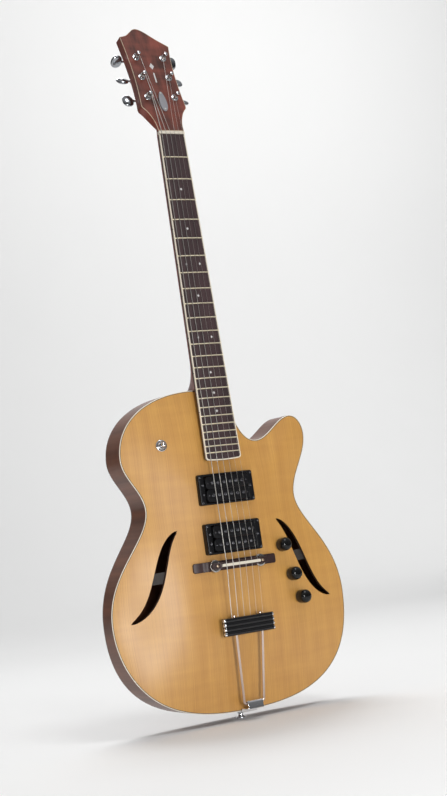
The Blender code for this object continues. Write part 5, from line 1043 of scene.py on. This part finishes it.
def make_pickup(name, height, lift):
    """A mounting ring that follows the top, with its screws, and two coils side by side with slotted poles."""
    crest = one(top_front, 0, height)
    front = lambda x, z: crest - lift + (z - height) * math.tan(NECK_ANGLE) / 2
    under = lambda x, z: top_front(x, z) - 0.45
    rows = []
    for width, length, corner, drop in ((91, 45, 3, None), (91, 45, 3, 2.4), (90.5, 44.5, 2.75, 1.1),
                                        (89.6, 43.6, 2.3, 0.35), (88.4, 42.4, 1.7, 0.0), (73.5, 40.0, 1.2, 0.0),
                                        (72.4, 38.9, 0.9, 0.3), (71.9, 38.4, 0.7, 0.9), (71.9, 38.4, 0.7, None)):
        loop = rounded_loop(0, height, width, length, corner, 4, 24)
        y = under(*loop.T) if drop is None else front(*loop.T) + drop
        rows.append(np.stack([loop[:, 0], y, loop[:, 1]], 1))
    points, faces = many([(put(np.stack(rows, 1), BODY), {"ring": True})])
    solid(f"{name}_ring", points, faces, gloss_black, replaces=(f"{name}_pickup_ring",), slot="black_ring")
    shapes = []
    for x in (-42.2, 42.2):
        for z in (-18.6, 18.6):
            place = BODY @ shift(x, front(x, height + z), height + z) @ facing((0, -1, 0))
            shapes += slotted(place, 1.6, 0.4, 0.8, 0.45, 20)
    for x, z in ((-39.2, -7.0), (-39.2, 7.0), (39.2, 0.0)):
        place = BODY @ shift(x, front(x, height + z), height + z) @ facing((0, -1, 0))
        shapes += slotted(place, 1.7, 0.4, 1.0, 0.5, 20)
    points, faces = many(shapes)
    solid(f"{name}_ring_screws", points, faces, black_steel, slot="steel")
    coil_front = crest - lift - 3.0
    place = BODY @ shift(0, coil_front, height) @ turn_x(math.pi / 2)
    coils, tape = [], []
    length = PICKUP_LENGTH / 2 - 0.25
    for row in (-1, 1):
        z = row * (length / 2 + 0.25)
        flange = [(-1.7, 0.15), (-1.55, 0.0), (-0.35, 0.0), (-0.1, 0.12), (0.0, 0.4)]
        coils.append(block_loft(place, 0, z, PICKUP_WIDTH, length, 5.2, flange))
        tape.append(block_loft(place, 0, z, PICKUP_WIDTH - 1.6, length - 1.2, 4.4, [(-14.5, 0.0), (-1.72, 0.0)]))
        coils.append(block_loft(place, 0, z, PICKUP_WIDTH, length, 5.2, [(-16.0, 0.0), (-14.52, 0.0)]))
    points, faces = many(coils)
    solid(f"{name}_coil_frames", points, faces, coil_black, body=f"{name}_pickup", replaces=(f"{name}_pickup",),
          slot="black_coil")
    points, faces = many(tape)
    solid(f"{name}_coil_tape", points, faces, coil_tape, body=f"{name}_pickup", replaces=(f"{name}_pickup",),
          slot="black_coil")
    poles = []
    for row in (-9.0, 9.0):
        for x in np.linspace(-25, 25, 6):
            poles += slotted(place @ shift(x, row, 0), 2.35, 0.6, 0.8, 0.8, 24)
        for x in (-31.8, 31.8):
            poles += slotted(place @ shift(x, row, 0), 1.15, 0.3, 0.35, 0.35, 16)
    points, faces = many(poles)
    solid(f"{name}_pole_screws", points, faces, black_steel, body=f"{name}_pickup", slot="steel")


def knurled(profile, place, teeth, depth, sides):
    """A turned ring whose outer radius waves in and out by the tooth depth: r (1 + d cos(n t) / r) on the rim."""
    profile = np.array(profile, float)
    grid = revolve(profile, np.eye(4), sides)
    t = np.arange(sides) * 2 * math.pi / sides
    rim = profile[:, 0] > profile[:, 0].max() - 0.05
    scale = 1 + rim[:, None] * depth / profile[:, 0].max() * np.cos(teeth * t)
    grid[..., :2] *= scale[..., None]
    return put(grid, place), {"ring": True}


def make_bridge():
    """The floating base with its threaded studs, two thumbwheels, the saddle with its stud bores, and the bone."""
    contact = one(top_front, 0, BRIDGE_Z)
    platform = contact - 7.0
    bar_front = STRING_REST_Y + 1.8
    wheel_back = platform - 1.5
    bar_back = wheel_back - 3.3

    def base_front(x, z):
        away = np.clip((np.abs(x) - 47.0) / 8.0, 0, 1)
        tip = np.clip((np.abs(x) - 58.0) / 11.0, 0, 1)
        end = top_front(x, z) - 4.45 + 1.6 * tip ** 2
        return platform + (end - platform) * away * away * (3 - 2 * away)

    under = lambda x, z: top_front(x, z) - 0.45
    loop = rounded_loop(0, BRIDGE_Z, 138, 14, 3, 5, 60)
    plate("bridge_foot", [loop], base_front, under, BODY, bridge_wood, pitch=2.2, replaces=("bridge_base",),
          slot="rosewood_bridge", bevel=0.7, angle=35)
    height = platform - bar_front - 3.0
    h = np.arange(0.6, height - 0.3, 0.2)
    thread = [(2.0, -0.5), (2.0, 0.4)] + [(1.82 + 0.18 * math.cos(2 * math.pi * k / 4), v) for k, v in enumerate(h)]
    for side, label in ((-1, "bass"), (1, "treble")):
        place = BODY @ shift(side * 37.5, platform, BRIDGE_Z) @ facing((0, -1, 0))
        turned(f"bridge_stud_{label}", thread + [(1.9, height - 0.2), (1.5, height), (0, height)], place, bronze,
               sides=20, replaces=("bridge_base",), slot="steel")
        place = BODY @ shift(side * 37.5, wheel_back, BRIDGE_Z) @ facing((0, -1, 0))
        rim = [(2.3, 0), (8.2, 0), (8.6, 0.15), (8.8, 0.45), (8.8, 2.55), (8.6, 2.85), (8.2, 3), (6.5, 3.0),
               (6.3, 2.8), (3.6, 2.8), (3.4, 3.0), (2.3, 3.0)]
        points, faces = many([knurled(rim, place, 56, 0.16, 224)])
        solid(f"thumbwheel_rim_{label}", points, faces, wheel_nickel, body=f"thumbwheel_{label}",
              replaces=(f"thumbwheel_{label}",), slot="chrome")

    def saddle_front(x, z):
        step = np.clip((np.abs(x) - 34.0) / 2.4, 0, 1)
        return bar_front + crown(x) + 2.0 * step * step * (3 - 2 * step)

    bores = [disc_loop(side * 37.5, BRIDGE_Z, 4.6, 24) for side in (-1, 1)]
    slot_hole = rounded_loop(0, BRIDGE_Z, 64.6, 4.6, 1.2, 4, 24)
    plate("saddle_bar", [rounded_loop(0, BRIDGE_Z, 92, 9, 4.2, 10, 24)] + bores + [slot_hole], saddle_front,
          level(bar_back), BODY, bridge_wood, pitch=1.5, body="bridge_saddle", replaces=("bridge_saddle",),
          slot="rosewood_bridge", bevel=0.4, angle=50)
    plate("saddle_bone", [rounded_loop(0, BRIDGE_Z, 64, 4.0, 1.07, 4, 30)],
          lambda x, z: STRING_REST_Y + crown(x) + 0.02, level(bar_front + 2.7), BODY, bone, pitch=1.2,
          body="bridge_saddle", replaces=("saddle_insert",), slot="bone", bevel=0.25)


def extruded(profile, half_width, place):
    """A closed profile of y and z drawn out along X to both sides."""
    profile = np.array(profile, float)
    return put(np.stack([np.column_stack([np.full(len(profile), x), profile]) for x in (-half_width, half_width)]),
               place), {}


def make_tailpiece():
    """Four gloss black ribs with bright end caps, the two rods that carry them, and the hinge over the tail."""
    front, back, low = FRONT_EDGE - 37.0, FRONT_EDGE - 28.0, 111.0
    profile = []
    angle = np.linspace(0, math.pi, 14)
    for rib in range(4):
        profile += np.column_stack([front + 1.8 * (1 - np.sin(angle) ** 0.8),
                                    low + 6.4 * (rib + 0.5) - 3.05 * np.cos(angle)]).tolist()
    profile += [(back, low + 25.6), (back, low)]
    points, faces = many([extruded(profile, 40.5, BODY)])
    block = solid("tailpiece_ribs", points, faces, rib_black, replaces=("tailpiece_block",), slot="black_tailpiece",
                  bevel=0.12, angle=45)
    rod_y = (front + 1.8 + back) / 2
    for number, x in enumerate((-21.5, 21.5)):
        drill(block, cylinder(2.3, low - 2, low + 28, BODY @ shift(x, rod_y, 0)), f"rod_bore_{number + 1}")
    for number in range(6):
        tail = string_places(number)[0]
        drill(block, cylinder(1.0, 0, 9, BODY @ shift(tail[0], tail[1], low + 20.4)), f"string_hole_{number + 1}")
    caps = []
    for way in (-1, 1):
        place = BODY @ shift(way * 40.5, (front + back) / 2, low) @ facing((way, 0, 0))
        for rib in range(4):
            levels = [(-1.6, 0.0), (-0.9, 0.03), (-0.2, 0.17), (0.4, 0.45), (0.9, 0.9), (1.3, 1.5), (1.5, 2.1)]
            caps.append(block_loft(place, -way * 1.6, 6.4 * (rib + 0.5), 6.2, 6.0, 2.4, levels))
    points, faces = many(caps)
    solid("tailpiece_end_caps", points, faces, chrome, replaces=("tailpiece_block",), slot="chrome", angle=35)
    bar_y = FRONT_EDGE - 20.0
    half = [(21.5, rod_y, 138.4), (21.5, rod_y, 109.0), (16.25, bar_y, 12.0)]
    path = fillet(np.array([(-x, y, z) for x, y, z in half] + half[::-1]), 4.0, 8)
    shapes = [(put(along(path, 2.0, 20, (0, 1, 0)), BODY), {})]
    for x in (-21.5, 21.5):
        tip = [(0, 0.3), (2.2, 0.3), (2.5, 0.6), (2.5, 1.6), (2.2, 2.5), (1.5, 3.1), (0.7, 3.35), (0, 3.4)]
        shapes.append((revolve(tip, BODY @ shift(x, rod_y, low + 25.6), 28), {}))
    points, faces = many(shapes)
    solid("tailpiece_rods", points, faces, rod_nickel, replaces=("tailpiece_frame",), slot="chrome")
    inner, outer = 2.3, 3.9
    around = np.radians(171 - 221 * np.linspace(0, 1, 28))
    shelf = 4.6
    low_front, face = bar_y - outer - 1.4, FRONT_EDGE - 2.6
    hook = np.column_stack([bar_y + outer * np.cos(around), 12 + outer * np.sin(around)])
    hollow = np.column_stack([bar_y + inner * np.cos(around[::-1]), 12 + inner * np.sin(around[::-1])])
    strap = np.vstack([[(14, -1.9), (face - 1.6, -1.9), (face - 1.6, shelf - 1.6), (low_front + 0.9, shelf - 1.6),
                        (low_front, shelf - 0.7)], hook, hollow,
                       [(low_front + 1.7, shelf), (face, shelf), (face, -GAP), (14, -GAP)]])
    points, faces = many([extruded(strap, 12.5, BODY)])
    bracket = solid("tail_hinge", points, faces, chrome, replaces=("tailpiece_bracket",), slot="chrome", bevel=0.3)
    drill(bracket, cylinder(2.3, -4, 4, BODY), "tail_screw_hole")
    shapes = []
    for x in (-7.6, 7.6):
        shapes += slotted(BODY @ shift(x, 7.0, -1.9) @ turn_x(math.pi), 1.9, 0.4, 0.9, 0.5, 20)
    points, faces = many(shapes)
    solid("hinge_screws", points, faces, aged_steel, slot="chrome")


# Controls and strap buttons

def make_controls():
    """Three domed knobs, the switch with its knurled nut, collar, can and lever, and the jack in the side."""
    for number, (x, z) in enumerate(KNOBS, 1):
        place = on_top(x, z, 3.0)
        angle = np.linspace(0, math.pi / 2, 22)[:-1]
        dome = np.column_stack([10.0 * np.cos(angle) ** 0.6, 9.0 + 8.0 * np.sin(angle)])
        profile = np.vstack([[(0, 9.3), (3.3, 9.3), (3.3, 0), (9.6, 0), (9.9, 0.15), (10.0, 0.5)], dome, [(0, 17.0)]])
        turned(f"domed_knob_{number}", profile, place, knob_black, sides=72, body=f"knob_{number}",
               replaces=(f"knob_{number}",), slot="black_knob")
    place = on_top(*SWITCH)
    body = [(0, -24.5), (10, -24.5), (10, -6.5), (6, -6.5), (6, 0.8), (6.1, 3.8), (5.9, 4.5), (5.4, 5.0),
            (4.2, 5.0), (3.7, 4.6), (3.7, -6.0), (0, -6.0)]
    turned("switch_bushing", body, place, chrome, sides=48, replaces=("switch_body",), slot="chrome")
    nut = [(6.15, 0.8), (8.1, 0.8), (8.5, 1.1), (8.5, 2.3), (8.0, 2.9), (7.4, 3.0), (6.15, 3.0)]
    points, faces = many([knurled(nut, place, 48, 0.14, 192)])
    solid("switch_nut", points, faces, chrome, replaces=("switch_body",), slot="chrome")
    lever = [(0, -3.4), (1.9, -2.8), (3.0, -1.6), (3.4, 0), (3.0, 1.6), (1.9, 2.8), (1.5, 3.4), (1.4, 8.0),
             (2.0, 8.6), (2.9, 9.6), (3.4, 11.0), (3.5, 12.2), (3.1, 13.6), (2.2, 14.6), (1.1, 15.0), (0, 15.0)]
    turned("switch_stalk", lever, place @ shift(0, 0, -1.5), chrome, sides=32, body="switch_lever",
           replaces=("switch_lever",), slot="chrome")
    jack = [(0, -27.8), (5.5, -27.8), (5.5, -14.8), (9, -14.8), (9, -3.8), (6, -3.8), (6, 0.8), (7.6, 0.8),
            (8.0, 1.2), (8.0, 2.6), (7.5, 3.0), (6.05, 3.0), (6.0, 3.5), (5.6, 3.8), (3.8, 3.8), (3.3, 3.4),
            (3.3, -24.0), (0, -24.0)]
    turned("jack_socket", jack, JACK, chrome, sides=40, replaces=("output_jack",), slot="chrome")


def make_strap_buttons():
    """Waisted buttons with a countersunk slotted screw, at the tail and in the back behind the heel."""
    spread = np.array([450 - 7.25, 450 + 7.25])
    seat = float(back_inner(0 * spread, spread).max()) + BACK_THICKNESS + GAP
    places = {"tail": BODY @ shift(0, 0, -2.2) @ turn_x(math.pi), "heel": BODY @ shift(0, seat, 450) @ facing((0, 1, 0))}
    for name, place in places.items():
        profile = [(0, -16.7), (1.0, -15.6), (2.0, -11.2), (2.0, 0), (5.3, 0), (5.5, 0.3), (5.3, 1.1), (4.4, 2.2),
                   (3.85, 3.3), (3.75, 4.4), (3.75, 6.0), (4.3, 7.4), (5.8, 8.4), (7.0, 8.9), (7.25, 9.3),
                   (7.2, 9.9), (6.8, 10.5), (5.9, 10.9), (3.2, 11.0), (2.6, 10.6), (0, 10.6)]
        turned(f"strap_pin_{name}", profile, place, chrome, sides=48, replaces=(f"strap_button_{name}",),
               slot="chrome")
        points, faces = many(slotted(place @ shift(0, 0, 10.62), 2.4, 0.0, 0.7, 0.6, 24))
        solid(f"strap_pin_screw_{name}", points, faces, aged_steel, slot="chrome")


def dress_inside():
    """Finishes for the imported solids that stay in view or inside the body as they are."""
    # The cross brace takes the finish with painted shade for the dim inside of the body.
    for name, made in (("cross_brace", shaded_brace), ("neck_block", plain_wood), ("tail_block", plain_wood),
                       ("pot_1", aged_steel), ("pot_2", aged_steel), ("pot_3", aged_steel),
                       ("truss_rod", aged_steel)):
        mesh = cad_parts[name].data
        mesh.materials.clear()
        mesh.materials.append(made)


def make_guitar():
    make_top()
    make_sides_and_back()
    make_neck()
    make_fingerboard()
    make_nut()
    make_cover()
    number = 0
    for side in (-1, 1):
        for height in TUNER_HEIGHTS:
            number += 1
            make_tuner(number, side, height)
    for number in range(6):
        make_string(number)
    make_pickup("neck", NECK_PICKUP, 7.0)
    make_pickup("bridge", BRIDGE_PICKUP, 9.5)
    make_bridge()
    make_tailpiece()
    make_controls()
    make_strap_buttons()
    dress_inside()


# Stage, light and camera

def make_stage():
    """A pale floor that sweeps up into a backdrop: a flat, a quarter circle and a wall, drawn along X."""
    t = np.linspace(0, math.pi / 2, 24)
    profile = np.vstack([[(-1.9, 0.0)], np.column_stack([3.0 + 2.0 * np.sin(t), 2.0 - 2.0 * np.cos(t)]), [(5.0, 7.0)]])
    grid = np.stack([np.column_stack([np.full(len(profile), x), profile]) for x in (-1.8, 9.0)])
    mesh = bpy.data.meshes.new("floor_sweep")
    mesh.from_pydata(grid.reshape(-1, 3).tolist(), [], skin(2, len(profile), around=False))
    mesh.shade_smooth()
    mesh.materials.append(finish("pale_floor", (0.90, 0.90, 0.895), 0.85, mottle=0.01, mottle_scale=2.0, bump=0.01))
    floor = bpy.data.objects.new("floor_sweep", mesh)
    bpy.context.scene.collection.objects.link(floor)


def lamp(name, place, aim, size, power, tall=None):
    """A soft rectangular lamp that faces a point."""
    light = bpy.data.lights.new(name, 'AREA')
    light.energy = power
    light.shape = 'RECTANGLE'
    light.size = size
    light.size_y = tall or size
    made = bpy.data.objects.new(name, light)
    made.location = place
    made.rotation_euler = (Vector(aim) - Vector(place)).to_track_quat('-Z', 'Y').to_euler()
    bpy.context.scene.collection.objects.link(made)


def make_light():
    """A pale backdrop, a soft box beside the camera, a lamp overhead, and a room that is dim at eye height and
    bright overhead."""
    world = bpy.data.worlds.new("pale_room")
    bpy.context.scene.world = world
    world.use_nodes = True
    nodes = Nodes(world.node_tree)
    background = world.node_tree.nodes["Background"]
    height = nodes("SeparateXYZ", {0: nodes("TexCoord").outputs["Generated"]}).outputs["Z"]
    room = nodes("MapRange", {0: height, 1: -0.05, 2: 0.75, 3: 0.07, 4: 0.45}, interpolation_type='SMOOTHSTEP')
    seen = nodes("Mix", {"Factor": nodes("LightPath").outputs["Is Camera Ray"]}, data_type='FLOAT')
    world.node_tree.links.new(room.outputs[0], seen.inputs[2])
    seen.inputs[3].default_value = 0.88
    background.inputs["Color"].default_value = (0.985, 0.99, 1.0, 1)
    world.node_tree.links.new(seen.outputs[0], background.inputs["Strength"])
    lamp("soft_box", (-0.45, -2.1, 0.24), (0, 0, 0.3), 0.28, 22.5, 0.6)
    lamp("upper_right", (0.35, -1.3, 2.7), (0, 0, 0.4), 0.8, 16)
    lamp("floor_lamp", (0.2, 1.1, 2.7), (-0.1, 0.3, 0), 1.6, 38, 1.0)
    lamp("backdrop_lamp", (3.2, 1.4, 3.2), (3.5, 5.0, 3.3), 3.0, 105, 1.0)


def make_camera():
    """The photograph's view: a long lens held a little below the middle, turned to the guitar's bass side."""
    camera = bpy.data.cameras.new("photo_view")
    camera.sensor_width = 36.0
    camera.lens = 67.72413
    made = bpy.data.objects.new("photo_view", camera)
    right, down, forward = ((0.866919, -0.482013, -0.126945), (-0.069617, 0.135096, -0.988384),
                            (0.493564, 0.865686, 0.083561))
    turn = Matrix([right, [-v for v in down], [-v for v in forward]]).transposed().to_4x4()
    made.matrix_world = Matrix.Translation((-1.07126, -1.94769, 0.28302)) @ turn
    bpy.context.scene.collection.objects.link(made)
    bpy.context.scene.camera = made


make_guitar()
make_stage()
make_light()
make_camera()
bpy.context.scene.view_settings.view_transform = 'Standard'
